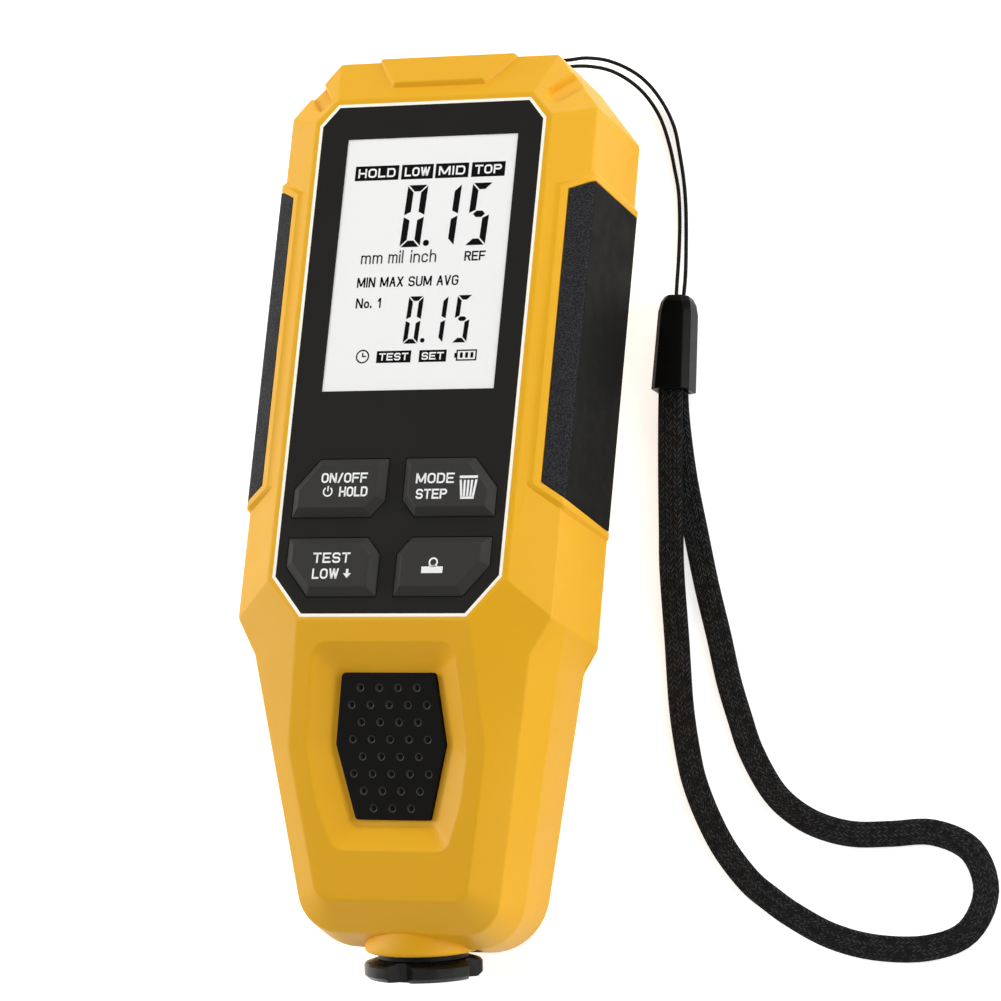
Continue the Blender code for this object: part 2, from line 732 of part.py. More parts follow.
def cut_thumb_recess(shell, handle):
    """The recess with sloping walls, and the pocket that the pad is stuck in."""
    pad = mirrored(PAD)
    upper, middle, lower = (Vector(p) for p in offset(pad, RECESS_FLOOR_MARGIN)[: len(PAD)])
    floor = mirrored([tuple(p) for p in (upper, middle, middle.lerp(lower, 0.5), lower)])
    rim = rounded(mirrored(RECESS), mirrored_radii(RECESS_RADII))
    floor = rounded(floor, mirrored_radii(RECESS_FLOOR_RADII))
    reach = 1.0 / -RECESS_FLOOR_Z
    above = [tuple(Vector(r) + (Vector(r) - Vector(f)) * reach) for r, f in zip(rim, floor)]
    rings = [
        [(x, y, 1.0) for x, y in above],
        [(x, y, RECESS_FLOOR_Z) for x, y in floor],
    ]
    combine(shell, loft("recess_form", rings, yellow(), handle))
    pocket = rounded(offset(pad, GAP / 2), [PAD_CORNER_R + GAP / 2] * len(pad))
    combine(shell, prism("pad_pocket", pocket, 1.0, PAD_Z - PAD_THICK - GAP, yellow(), handle))


def build_rear_cover(gauge, handle):
    top, side, waist = part_outlines()

    def inward(distance, z, z_high, z_low):
        """The parting outline moved in, at depth z, with the handle's back from z_high to z_low."""
        x_high, y_high, x_low, y_low, y_end, radius, _ = HANDLE_PART
        lifted = tuple(c - distance * k for c, k in zip(top, (0.45, 1.0)))
        flank = tuple(c - distance * k for c, k in zip(side, (1.0, 0.45)))
        lean = math.tan(BEND / 2) * (z_high - HANDLE_PART[-1])
        shape = (
            x_high - distance,
            y_high + lean,
            x_low - distance,
            y_low,
            y_end + distance,
            max(radius - distance / 2, 1.0),
            z_high,
        )
        ring = handle_half(shape)
        drop = [(y_high + lean - y) / (y_high + lean - (y_end + distance)) for _, y, _ in ring]
        ring = [(x, y, z_high + (z_low - z_high) * d) for (x, y, _), d in zip(ring, drop)]
        upper = [(*lifted, z), (*flank, z), (waist[0] - distance, waist[1], z)]
        return mirrored(upper + [to_body(p) for p in ring])

    seam = HANDLE_PART[-1] - GAP
    edge = HANDLE_PART[-1] - EDGE_DROP
    deep = HANDLE_PART[-1] + BACK_Z - PART_Z
    rings = [
        inward(0.0, PART_Z - GAP, seam, seam),
        inward(EDGE_INSET, PART_Z - EDGE_DROP, edge, edge),
        inward(BACK_INSET, BACK_Z, deep, HANDLE_BACK_LOW_Z),
    ]
    caps = bent_caps(len(rings[0]))
    cover = loft("rear_cover", rings, yellow(), gauge, caps, caps)
    door_seat = BACK_Z + DOOR_SINK + DOOR_THICK + GAP
    floor = door_seat + TRAY_WALL
    side, cut = CAVITY_SIDE - 1.0, CAVITY_CUT + 1.0
    half = [(side + 1.0 - cut, CAVITY_TOP_Y), (side, CAVITY_TOP_Y - cut), (side, CAVITY_LOW_Y)]
    combine(cover, prism("cover_room", mirrored(half), PART_Z + 1.0, floor, yellow(), gauge))
    x_high, y_high, x_low, y_low, _ = HANDLE_CAVITY
    room = mirrored([(x_high, y_high - 6.0), (x_low, y_low)])
    depths = (HANDLE_PART[-1] + 2.0, HANDLE_BACK_LOW_Z + 2.0)
    combine(cover, prism("cover_handle_room", room, *depths, yellow(), handle))
    tray_half = CELL_X + CELL_R + GAP
    roof = CELL_Z + CELL_R + GAP
    tray = block(
        "tray_form",
        (-tray_half - TRAY_WALL, tray_half + TRAY_WALL),
        (TRAY_LOW - TRAY_WALL, TRAY_TOP + TRAY_WALL),
        (floor - 0.4, roof + TRAY_WALL),
        yellow(),
        gauge,
    )
    combine(cover, tray, "UNION")
    cells = block(
        "cell_room", (-tray_half, tray_half), (TRAY_LOW, TRAY_TOP), (BACK_Z - 1.0, roof), yellow(), gauge
    )
    combine(cover, cells)
    low = BACK_Z + DOOR_SINK
    wide = DOOR_HALF + DOOR_KEEP + GAP
    narrow = DOOR_HALF + GAP - DOOR_KEEP * (low - BACK_Z + 1.0) / DOOR_THICK
    section = [(-wide, door_seat), (wide, door_seat), (narrow, BACK_Z - 1.0), (-narrow, BACK_Z - 1.0)]
    seat = [[(x, y, z) for x, z in section] for y in (DOOR_LOW - GAP, RIDGE_TOP[1] + 4.0)]
    combine(cover, loft("door_seat", seat, yellow(), gauge))
    cut_screw_seats(cover, gauge, handle)
    combine(cover, probe_bore("cover_bore_form", handle))
    return cover


def handle_back_z(y):
    """Depth of the handle's flat back at y."""
    high = HANDLE_PART[-1] + BACK_Z - PART_Z
    y_high = HANDLE_PART[1] + math.tan(BEND / 2) * (high - HANDLE_PART[-1])
    y_low = HANDLE_PART[4] + BACK_INSET
    return high + (HANDLE_BACK_LOW_Z - high) * (y_high - y) / (y_high - y_low)


def screw_spots(gauge, handle):
    """(label, hand, x, y, back face z, frame) of the four case screws."""
    for hand in (-1, 1):
        yield "top", hand, hand * SCREW_TOP[0], SCREW_TOP[1], BACK_Z, gauge
        yield "low", hand, hand * SCREW_LOW[0], SCREW_LOW[1], handle_back_z(SCREW_LOW[1]), handle


def cut_screw_seats(cover, gauge, handle):
    for label, hand, x, y, back, frame in screw_spots(gauge, handle):
        place = Matrix.Translation((x, y, 0.0))
        seam = PART_Z if frame is gauge else HANDLE_PART[-1]
        post = [(BOSS_R, back + 2.6), (BOSS_R, seam - GAP - 0.2)]
        combine(cover, turned(f"post_{label}_{hand}", post, place, yellow(), frame, 20), "UNION")
        head = back + SCREW_SINK + SCREW_HEAD + GAP
        room = [(SCREW_HEAD_R + GAP, back - 2.0), (SCREW_HEAD_R + GAP, head)]
        combine(cover, turned(f"head_room_{label}_{hand}", room, place, yellow(), frame, 20))
        through = [(SCREW_R + GAP, back - 1.0), (SCREW_R + GAP, PART_Z + 4.0)]
        combine(cover, turned(f"shank_room_{label}_{hand}", through, place, yellow(), frame, 12))


def build_screws(gauge, handle):
    """Four pan head screws."""
    for label, hand, x, y, back, frame in screw_spots(gauge, handle):
        z = back + SCREW_SINK
        profile = [
            (SCREW_HEAD_R - 0.5, z),
            (SCREW_HEAD_R, z + 0.5),
            (SCREW_HEAD_R, z + SCREW_HEAD),
            (SCREW_R, z + SCREW_HEAD),
            (SCREW_R, z + SCREW_LENGTH),
            (SCREW_R - 0.6, z + SCREW_LENGTH + 0.6),
        ]
        name = f"screw_{label}_{'left' if hand < 0 else 'right'}"
        turned(name, profile, Matrix.Translation((x, y, 0.0)), steel(), frame, 12)


def panel_outline():
    return mirrored([PANEL_TOP, PANEL_SIDE, PANEL_LOW, PANEL_END])


def key_outline(hand, row):
    """hand -1 left, 1 right; row 1 upper, -1 lower. The big chamfer is at the outer far corner."""
    near = KEY_MID_Y + row * KEY_ROW_GAP / 2
    far = near + row * KEY_HIGH
    points = [
        (KEY_IN, far),
        (KEY_OUT - KEY_BIG[0], far),
        (KEY_OUT, far - row * KEY_BIG[1]),
        (KEY_OUT, near),
        (KEY_IN + KEY_SMALL[0], near),
        (KEY_IN, near + row * KEY_SMALL[1]),
    ]
    points = [(hand * x, y) for x, y in points]
    return points if hand * row > 0 else points[::-1]


def build_panel_and_keys(gauge):
    glossy = material("panel_black", (0.02, 0.019, 0.018), 0.35)
    outline = offset(panel_outline(), TRIM)
    panel = prism("face_panel", outline, -PANEL_SINK, -PANEL_SINK - PANEL_THICK, glossy, gauge)
    rubber = material("key_grey", (0.045, 0.045, 0.048), 0.5)
    names = {(-1, 1): "key_power", (1, 1): "key_delete", (-1, -1): "key_mode", (1, -1): "key_zero"}
    for (hand, row), name in names.items():
        shape = key_outline(hand, row)
        combine(panel, prism(f"{name}_hole", offset(shape, GAP), 2.0, -3.0, glossy, gauge))
        levels = (
            (KEY_RISE, offset(shape, -KEY_BEVEL)),
            (0.0, shape),
            (-KEY_SKIRT, shape),
        )
        centre = (sum(x for x, _ in shape) / len(shape), sum(y for _, y in shape) / len(shape))
        local = [[(x - centre[0], y - centre[1], z) for x, y in ring] for z, ring in levels]
        key = loft(name, local, rubber, gauge)
        key.location = (centre[0] * MM, centre[1] * MM, 0.0)
        ends = [(KEY_STEM, -KEY_SKIRT - KEY_STEM_LONG), (KEY_STEM, -KEY_SKIRT + 0.3)]
        combine(key, turned(f"{name}_stem", ends, Matrix.Identity(4), rubber, key, 16), "UNION")
    return names


def build_electronics(gauge, keys):
    """Display, backlight, key mat, board with switches, and buzzer."""
    x = LCD_HALF + LCD_GLASS_MARGIN
    y = (LCD_LOW - LCD_GLASS_MARGIN, LCD_TOP + LCD_GLASS_MARGIN)
    top = -PANEL_SINK - PANEL_THICK - GAP
    glass = material("display_glass", (0.86, 0.87, 0.88), 0.25)
    block("lcd_glass", (-x, x), y, (top - LCD_GLASS, top), glass, gauge)
    white = material("white_plastic", (0.85, 0.85, 0.83), 0.5)
    lit = LCD_HALF + 0.3
    block("lcd_backlight", (-lit, lit), y, (BOARD_Z + GAP, top - LCD_GLASS - GAP), white, gauge)
    mat_finish = material("silicone", (0.5, 0.5, 0.5), 0.6)
    reach = KEY_ROW_GAP / 2 + KEY_HIGH - 1.0
    low, high = KEY_MID_Y - reach, KEY_MID_Y + reach
    dome_top = -KEY_SKIRT - KEY_STEM_LONG - KEY_TRAVEL - GAP
    mat_top = dome_top - DOME_HIGH
    half = KEY_OUT - 1.0
    mat = block("key_mat", (-half, half), (low, high), (mat_top - MAT_THICK, mat_top), mat_finish, gauge)
    board_finish = material("board_green", (0.02, 0.16, 0.06), 0.5)
    board = block(
        "main_board",
        (-BOARD_HALF, BOARD_HALF),
        (BOARD_LOW, BOARD_TOP),
        (BOARD_Z - BOARD_THICK, BOARD_Z),
        board_finish,
        gauge,
    )
    chip = block(
        "chip_form",
        (-CHIP_HALF, CHIP_HALF),
        (CHIP_Y - CHIP_HALF, CHIP_Y + CHIP_HALF),
        (BOARD_Z - BOARD_THICK - CHIP_HIGH, BOARD_Z - BOARD_THICK / 2),
        board_finish,
        gauge,
    )
    combine(board, chip, "UNION")
    switch_finish = material("switch_black", (0.05, 0.05, 0.05), 0.4)
    for (hand, row), name in keys.items():
        spot = bpy.data.objects[name].location / MM
        place = Matrix.Translation((spot.x, spot.y, 0.0))
        profile = [(DOME_LOW_R, mat_top - MAT_THICK / 2), (DOME_TOP_R, dome_top)]
        dome = turned(f"dome_{name}", profile, place, mat_finish, gauge, 16)
        combine(mat, dome, "UNION")
        button = block(
            f"switch_{name}",
            (spot.x - SWITCH_HALF, spot.x + SWITCH_HALF),
            (spot.y - SWITCH_HALF, spot.y + SWITCH_HALF),
            (BOARD_Z - 0.5, mat_top - MAT_THICK - GAP),
            switch_finish,
            gauge,
        )
        combine(board, button, "UNION")
    under = BOARD_Z - BOARD_THICK
    place = Matrix.Translation((BOARD_HALF - BUZZER_IN[0], BOARD_LOW + BUZZER_IN[1], 0.0))
    turned(
        "buzzer",
        [(BUZZER_R, under - GAP / 2 - BUZZER_HIGH), (BUZZER_R, under - GAP / 2)],
        place,
        switch_finish,
        gauge,
        20,
    )


def build_cells_and_door(gauge):
    jacket = material("cell_jacket", (0.1, 0.1, 0.12), 0.35)
    low_plate, top_plate = TRAY_LOW + GAP / 2 + CONTACT, TRAY_TOP - GAP / 2 - CONTACT
    flats = {-1: top_plate - GAP - NUB - CELL_LENGTH, 1: low_plate + GAP + NUB + CELL_LENGTH}
    for hand, name in ((-1, "cell_left"), (1, "cell_right")):
        flat, sign = flats[hand], -hand
        upright = Matrix.Rotation(-sign * math.radians(90), 4, "X")
        place = Matrix.Translation((hand * CELL_X, flat, CELL_Z)) @ upright
        profile = [
            (CELL_R - 0.5, 0.0),
            (CELL_R, 0.4),
            (CELL_R, CELL_LENGTH - 0.4),
            (CELL_R - 0.5, CELL_LENGTH),
            (NUB_R, CELL_LENGTH),
            (NUB_R, CELL_LENGTH + NUB),
        ]
        turned(name, profile, place, jacket, gauge, 24)
    plate = steel()
    ends = ((TRAY_LOW + GAP / 2, 1, "low"), (TRAY_TOP - GAP / 2, -1, "top"))
    for y, inward, label in ends:
        tall = (CELL_Z - CONTACT_PAST, CELL_Z + CONTACT_PAST)
        span = (y, y + inward * CONTACT) if inward > 0 else (y + inward * CONTACT, y)
        wide = CELL_X + CONTACT_PAST
        block(f"cell_contact_{label}", (-wide, wide), span, tall, plate, gauge)
    coil(gauge, -CELL_X, low_plate + GAP, flats[-1] - GAP, "cell_spring_left")
    coil(gauge, CELL_X, top_plate - GAP, flats[1] + GAP, "cell_spring_right")
    build_door(gauge)


def coil(gauge, x, y_wide, y_narrow, name):
    """A conical contact spring between a contact plate and a cell's flat end."""
    turns, steps, radius = 2.5, 12, 0.3
    sign = 1 if y_narrow > y_wide else -1
    start, end = y_wide + sign * radius, y_narrow - sign * radius
    points = []
    for k in range(int(turns * steps) + 1):
        share = k / (turns * steps)
        turn = 2 * math.pi * k / steps
        wide = 3.4 - 1.6 * share
        y = start + (end - start) * share
        points.append((x + wide * math.cos(turn), y, CELL_Z + wide * math.sin(turn)))
    wire(name, points, radius, steel(), gauge, 1)


def build_door(gauge):
    """The sliding battery door, with a sloping end that follows the cover and finger grooves."""
    low, high = BACK_Z + DOOR_SINK, BACK_Z + DOOR_SINK + DOOR_THICK
    wide = DOOR_HALF + DOOR_KEEP
    section = [(-wide, high), (wide, high), (DOOR_HALF, low), (-DOOR_HALF, low)]
    slope = DOOR_THICK * (BACK_INSET - EDGE_INSET) / (PART_Z - EDGE_DROP - BACK_Z)
    near = [(x, DOOR_LOW, z) for x, z in section]
    far = [(x, DOOR_TOP + (slope if z == high else 0.0), z) for x, z in section]
    door = loft("battery_door", [near, far], yellow(), gauge)
    for k in range(4):
        y = DOOR_TOP - 6.0 - 2.4 * k
        groove = block(
            f"finger_groove_{k}", (-6.0, 6.0), (y, y + 1.2), (low - 1.0, low + 0.5), yellow(), gauge
        )
        combine(door, groove)
    return door


def build_grips_and_pad(gauge, handle):
    for hand, name in ((-1, "grip_left"), (1, "grip_right")):
        grip_form(name, hand, -GAP / 2, GRIP_RISE, GRIP_THICK, PART_Z + GAP / 2, black_rubber(), gauge)
    outline = rounded(mirrored(PAD), [PAD_CORNER_R] * 2 * len(PAD))
    pad = prism("thumb_pad", outline, PAD_Z, PAD_Z - PAD_THICK, black_rubber(), handle)
    combine(pad, dimples_form(handle))


def dimples_form(handle):
    """All dimples of the pad as one cutter: small blunt cones in staggered rows."""
    points, faces = [], []
    steps = DIMPLE_STEPS
    for row, count in enumerate(DIMPLE_ROWS):
        y = PAD[0][1] - DIMPLE_START - DIMPLE_ROW_PITCH * row
        for column in range(count):
            x = DIMPLE_PITCH * (column - (count - 1) / 2)
            first = len(points)
            turns = [2 * math.pi * i / steps for i in range(steps)]
            for radius, rise in ((DIMPLE_R * 0.5, -DIMPLE_DEPTH), (DIMPLE_R * 1.5, DIMPLE_DEPTH)):
                z = PAD_Z + rise
                points += [(x + radius * math.cos(a), y + radius * math.sin(a), z) for a in turns]
            low, high = range(first, first + steps), range(first + steps, first + 2 * steps)
            faces += [tuple(low), tuple(high)]
            faces += [(low[i - 1], low[i], high[i], high[i - 1]) for i in range(steps)]
    return make("dimples_form", points, faces, black_rubber(), handle)


def build_probe(handle):
    """Neck, dark metal ring, notched foot, and the sprung sensor tip inside them."""
    place = probe_place()
    neck = [
        (NECK_R, -NECK_TOP),
        (NECK_R, -NECK_FLARE),
        (NECK_WIDE_R, -NECK_WIDEST),
        (NECK_WIDE_R - 0.2, (-NECK_WIDEST - NECK_END) / 2),
        (NECK_END_R, -NECK_END),
    ]
    sleeve = turned("probe_neck", neck, place, yellow(), handle)
    combine(sleeve, probe_cut("neck_bore", PROBE_BORE, yellow(), handle))
    shade = material("ring_metal", (0.25, 0.25, 0.25), 0.35, 1.0)
    radius = NECK_END_R - RING_INSET
    ring = turned("probe_ring", [(radius, -NECK_END + GAP / 2), (radius, -FOOT_TOP)], place, shade, handle)
    combine(ring, probe_cut("ring_bore", PROBE_BORE, shade, handle))
    start = -FOOT_TOP + GAP / 2
    foot = [
        (NECK_END_R, start),
        (FOOT_R, start + 0.6),
        (FOOT_R, start + FOOT_HIGH - 0.5),
        (FOOT_R - 0.6, start + FOOT_HIGH),
    ]
    disc = turned("probe_foot", foot, place, black_plastic(), handle, 40)
    combine(disc, probe_cut("foot_bore", TIP_R + GAP, black_plastic(), handle))
    for quarter in range(4):
        spin = Matrix.Rotation(math.radians(90 * quarter), 4, "Z")
        half = FOOT_NOTCH / 2
        mouth = (FOOT_R + 1.0, half * 1.6)
        outline = [(FOOT_R - FOOT_NOTCH_DEPTH, 0.0), (mouth[0], -mouth[1]), mouth]
        ends = (start - 1.0, start + FOOT_HIGH + 2.0)
        rings = [[place @ spin @ Vector((x, y, z)) for x, y in outline] for z in ends]
        combine(disc, loft(f"foot_notch_{quarter}", rings, black_plastic(), handle))
    tip_end = start + FOOT_HIGH + TIP_PROUD
    tip = turned(
        "probe_tip",
        [
            (STEM_R, -NECK_TOP - STEM_PAST),
            (STEM_R, start - TIP_LONG),
            (TIP_R, start - TIP_LONG),
            (TIP_R, tip_end - 0.6),
            (TIP_R - 0.9, tip_end),
        ],
        place,
        steel(),
        handle,
        24,
    )
    copper = material("coil_copper", (0.7, 0.3, 0.12), 0.35, 1.0)
    bobbin = turned(
        "sensor_coil",
        [(PROBE_BORE - GAP, -NECK_TOP + GAP), (PROBE_BORE - GAP, -NECK_TOP + COIL_HIGH)],
        place,
        copper,
        handle,
        24,
    )
    combine(bobbin, probe_cut("coil_bore", STEM_R + GAP, copper, handle, 16))
    points = []
    steps = 12
    low, high = -NECK_TOP + COIL_HIGH + GAP + SPRING_WIRE / 2, start - TIP_LONG - GAP - SPRING_WIRE / 2
    wide = STEM_R + GAP + SPRING_WIRE / 2
    for k in range(SPRING_TURNS * steps + 1):
        turn = 2 * math.pi * k / steps
        along = low + (high - low) * k / (SPRING_TURNS * steps)
        points.append(place @ Vector((wide * math.cos(turn), wide * math.sin(turn), along)))
    wire("probe_spring", points, SPRING_WIRE / 2, steel(), handle, 1)


def smooth(points, parts):
    """A smooth line through the points, with parts steps from each to the next."""
    spots = [Vector(p) for p in points]
    spots = [2 * spots[0] - spots[1]] + spots + [2 * spots[-1] - spots[-2]]
    line = []
    for a, b, c, d in zip(spots, spots[1:], spots[2:], spots[3:]):
        for k in range(parts):
            t = k / parts
            line.append(
                b
                + (c - a) * 0.5 * t
                + (a - 2.5 * b + 2 * c - 0.5 * d) * t**2
                + (1.5 * (b - c) + 0.5 * (d - a)) * t**3
            )
    return line + [spots[-2]]


def build_cord():
    """One thin cord: from the clasp round the lanyard bar and back."""
    y, z = BAR_PLACE
    around = LOOP_BAR_R + CORD_D / 2 + 0.15
    turn = [math.pi * k / 6 for k in range(7)]
    bend = [(LOOP_X + around * math.cos(a), y - around * math.sin(a), z) for a in turn]
    route = list(CORD_INNER[::-1]) + bend + list(CORD_OUTER)
    wire("strap_cord", smooth(route, 2), CORD_D / 2, material("cord_black", (0.02, 0.02, 0.02), 0.7), None)


def build_webbing():
    """The flat braided loop, lying on the table, with one leg over the other at the clasp."""
    line = smooth(WEB_ROUTE, 2)
    rings = []
    for i, spot in enumerate(line):
        ahead = line[min(i + 1, len(line) - 1)] - line[max(i - 1, 0)]
        side = Vector((ahead.y, -ahead.x, 0.0)).normalized() * WEB_WIDTH / 2
        up = Vector((0.0, 0.0, WEB_THICK / 2))
        rings.append([spot + side + up, spot + side - up, spot - side - up, spot - side + up])
    finish = material("webbing_black", (0.02, 0.02, 0.02), 0.8)
    return loft("strap_webbing", rings, finish, None)


def build_clasp():
    """The clasp between cord and webbing: a tapered, chamfered block with a slot at each end."""
    rings = []
    low, high = CLASP_Y
    cut = CLASP_CHAMFER
    for along, half, inset in CLASP_SHAPE:
        bottom, top = inset, CLASP_HIGH - inset
        side = [(half - cut, bottom), (half, bottom + 0.4), (half, top - cut), (half - cut, top)]
        section = mirrored(side)
        rings.append([(CLASP_X + x, low + along, z) for x, z in section])
    finish = black_plastic()
    clasp = loft("strap_clasp", rings, finish, None)
    half, z_low, z_high, deep = WEB_SLOT
    room = ((CLASP_X - half, CLASP_X + half), (low - 2.0, low + deep), (z_low, z_high))
    combine(clasp, block("web_slot_form", *room, finish, None))
    half, z_low, z_high, deep = CORD_SLOT
    middle = CLASP_X + 0.15
    room = ((middle - half, middle + half), (high - deep, high + 2.0), (z_low, z_high))
    combine(clasp, block("cord_slot_form", *room, finish, None))


def lay_on_back(gauge, back, ends):
    """Turns the gauge so that its back rests on z = 0, with its length centred."""
    end_y, end_z = to_body((0.0, HANDLE_PART[4] + BACK_INSET, HANDLE_BACK_LOW_Z))[1:]
    top_y = RIDGE_TOP[1] + PART_FLARE - BACK_INSET
    tilt = math.atan2(BACK_Z - end_z, top_y - end_y)
    gauge.rotation_euler = (-tilt, 0.0, 0.0)
    bpy.context.view_layer.update()
    low = min((back.matrix_world @ v.co).z for v in back.data.vertices)
    ys = [(piece.matrix_world @ v.co).y for piece in ends for v in piece.data.vertices]
    gauge.location = (0.0, -(min(ys) + max(ys)) / 2, -low)
    bpy.context.view_layer.update()


def clear_scene():
    for old in list(bpy.data.objects):
        bpy.data.objects.remove(old, do_unlink=True)


def empty(name, parent=None):
    made = bpy.data.objects.new(name, None)
    bpy.context.collection.objects.link(made)
    made.parent = parent
    return made


def main():
    clear_scene()
    gauge = empty("gauge_frame")
    handle = empty("handle_frame", gauge)
    handle.location = (0.0, FOLD_Y * MM, 0.0)
    handle.rotation_euler = (BEND, 0.0, 0.0)
    build_front_shell(gauge, handle)
    cover = build_rear_cover(gauge, handle)
    build_screws(gauge, handle)
    keys = build_panel_and_keys(gauge)
    build_electronics(gauge, keys)
    build_cells_and_door(gauge)
    build_grips_and_pad(gauge, handle)
    build_probe(handle)
    build_cord()
    build_clasp()
    build_webbing()
    lay_on_back(gauge, cover, [bpy.data.objects[name] for name in ("boss_form", "probe_tip", "probe_foot")])


main()
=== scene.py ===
"""Looks of the coating thickness gauge: housing, panel, keys, grips, probe and strap.

Sizes are in millimetres in the gauge's own frames, as in the part's source, and are turned into metres on
the table by GAUGE and HANDLE.
"""

import math

import bmesh
import bpy
from mathutils import Matrix, Vector


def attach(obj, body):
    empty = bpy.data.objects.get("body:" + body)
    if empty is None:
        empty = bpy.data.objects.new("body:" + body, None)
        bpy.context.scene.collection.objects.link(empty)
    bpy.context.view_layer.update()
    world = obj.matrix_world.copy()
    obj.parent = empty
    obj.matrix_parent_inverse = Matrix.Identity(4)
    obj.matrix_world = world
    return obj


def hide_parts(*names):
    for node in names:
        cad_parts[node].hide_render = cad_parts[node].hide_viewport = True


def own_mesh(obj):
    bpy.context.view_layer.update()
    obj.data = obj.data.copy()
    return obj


MM = 0.001
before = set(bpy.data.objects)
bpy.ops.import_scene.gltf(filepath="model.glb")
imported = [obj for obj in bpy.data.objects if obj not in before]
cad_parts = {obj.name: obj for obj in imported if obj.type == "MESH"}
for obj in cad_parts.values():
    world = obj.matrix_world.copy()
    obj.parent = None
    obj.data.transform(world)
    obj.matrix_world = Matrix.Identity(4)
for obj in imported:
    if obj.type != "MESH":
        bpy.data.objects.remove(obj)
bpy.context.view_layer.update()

FOLD_Y = -38.4
BEND = math.radians(19.1)
REST_TILT = math.radians(-4.6017)
REST_PLACE = (0.0, 19.5347, 31.6845)
GAUGE = Matrix.Translation(REST_PLACE) @ Matrix.Rotation(REST_TILT, 4, "X")
HANDLE = GAUGE @ Matrix.Translation((0.0, FOLD_Y, 0.0)) @ Matrix.Rotation(BEND, 4, "X")
TABLE = Matrix.Identity(4)
HANDLE_UP = HANDLE.to_3x3() @ Vector((0.0, 0.0, 1.0))

# Body, as in the part's source
LIP_TOP = (16.05, 43.85)
LIP_SIDE = (19.3, 40.35)
LIP_LOW = (19.3, -32.35)
LIP_FOLD_X = 13.8
RIDGE_Z = -4.0
RIDGE_TOP = (17.95, 51.4)
RIDGE_SIDE = (25.2, 42.6)
WAIST = (25.36, -37.07)
BREAK_Z = -9.6
PART_Z = -22.0
PART_FLARE = 0.25
WAIST_FLARE = 0.65
SPARE = 3.0
HANDLE_PART_Z = -19.9
PART_FOLD_Y = (PART_Z - HANDLE_PART_Z * math.cos(BEND)) / math.sin(BEND)
HANDLE_FRONT = (15.8, -19.0, 12.3, -40.3, -41.9, 2.5, 0.0)
HANDLE_RIDGE = (22.2, -5.5, 16.6, -40.3, -47.3, 6.0, -3.1)
HANDLE_BREAK = (23.95, -8.7, 18.2, -40.5, -50.2, 8.0, -9.6)
HANDLE_PART = (24.15, PART_FOLD_Y, 18.27, -40.2, -52.2, 10.0, HANDLE_PART_Z)
HANDLE_RIDGE_END_Z = -3.9
BACK_Z = -28.0
BACK_INSET = 4.6
EDGE_DROP = 1.9
EDGE_INSET = 0.7
HANDLE_BACK_LOW_Z = -23.6
CORNER_STEPS = 10
GAP = 0.3
SEAM = 0.12  # what is left open of the gap where pieces meet in view

# Room inside, lanyard pocket and screws
CAVITY_TOP_Z = -3.05
CAVITY_TOP_HALF = 17.3
CAVITY_SHOULDER_Z = -7.0
CAVITY_SIDE = 21.9
CAVITY_TOP_Y = 44.4
CAVITY_LOW_Y = -36.0
CAVITY_CUT = 5.0
HANDLE_CAVITY = (13.4, -4.0, 10.6, -39.5, -5.6)
LOOP_X = 8.0
LOOP_Z = -17.0
LOOP_BAR_R = 1.0
LOOP_BAR_IN = 1.7
LOOP_HALF = 3.6
LOOP_HALF_HIGH = 3.0
LOOP_DEEP = 5.6
SCREW_TOP = (17.9, 38.3)
SCREW_LOW = (10.4, -33.5)
SCREW_R = 1.25
SCREW_HEAD_R = 2.4
SCREW_HEAD = 1.9
SCREW_SINK = 0.5
SCREW_LENGTH = 9.0
BOSS_R = 3.2
BOSS_HALF_OUT = 11.7
BOSS_HALF_IN = 7.9
BOSS_RISE = 0.8
BOSS_SLOPE = 0.65
BOSS_START = 2.2
NOTCH_WIDTH = 2.9
NOTCH_LENGTH = 5.2
NOTCH_DEPTH = 1.2

# Cells and battery door
CELL_R = 5.25
CELL_X = 5.6
CELL_Z = -20.65
TRAY_WALL = 1.4
TRAY_LOW = -14.9
TRAY_TOP = 35.5
DOOR_HALF = 13.5
DOOR_LOW = -21.0
DOOR_TOP = 47.05
DOOR_KEEP = 0.8
DOOR_THICK = 1.5
DOOR_SINK = 0.3

PANEL = [(15.55, 42.64), (18.1, 39.6), (18.0, -31.73), (13.17, -37.5)]
TRIM = 0.48
PANEL_SINK = 0.05
PANEL_THICK = 1.0
LCD = (-14.0, 14.0, -2.87, 37.33)
DISPLAY = (-13.65, 14.25, -2.87, 37.4)
DISPLAY_DEEP = 0.15
KEY_IN = 1.4
KEY_OUT = 16.35
KEY_MID_Y = -24.24
KEY_ROW_GAP = 3.18
KEY_HIGH = 9.05
KEY_BIG = (3.85, 4.6)
KEY_SMALL = (2.15, 2.55)
KEY_RISE = 1.15
KEY_BEVEL = 1.25

GRIP_IN_X = 22.5
GRIP_OUT_X = 25.9
GRIP_TOP = 30.9
GRIP_LOW = -19.1
GRIP_TAPER = 0.6
GRIP_THICK = 1.7
GRIP_RISE = 0.5
GRIP_DRAFT = 0.3
GRIP_RIM = 1.95
GRIP_RIM_RISE = 0.5
GRIP_RIM_SLOPE = 1.0
PAD = [(7.5, -8.2), (8.8, -18.8), (6.0, -30.0)]
PAD_Z = -1.75
PAD_THICK = 1.5
PAD_CORNER_R = 0.55
DIMPLE_ROWS = (4, 5, 4, 5, 4, 5, 4, 3)
DIMPLE_PITCH = 3.02
DIMPLE_ROW_PITCH = 2.57
DIMPLE_START_Y = -10.3
DIMPLE_WALL = ((0.3, -0.38), (0.52, -0.03), (0.62, 0.01), (0.7, 0.4))  # radius and height over the pad
RECESS = [(11.15, -3.5), (12.8, -19.3), (11.55, -26.8), (9.1, -34.2)]
RECESS_RADII = [2.5, 12.0, 12.0, 2.3]
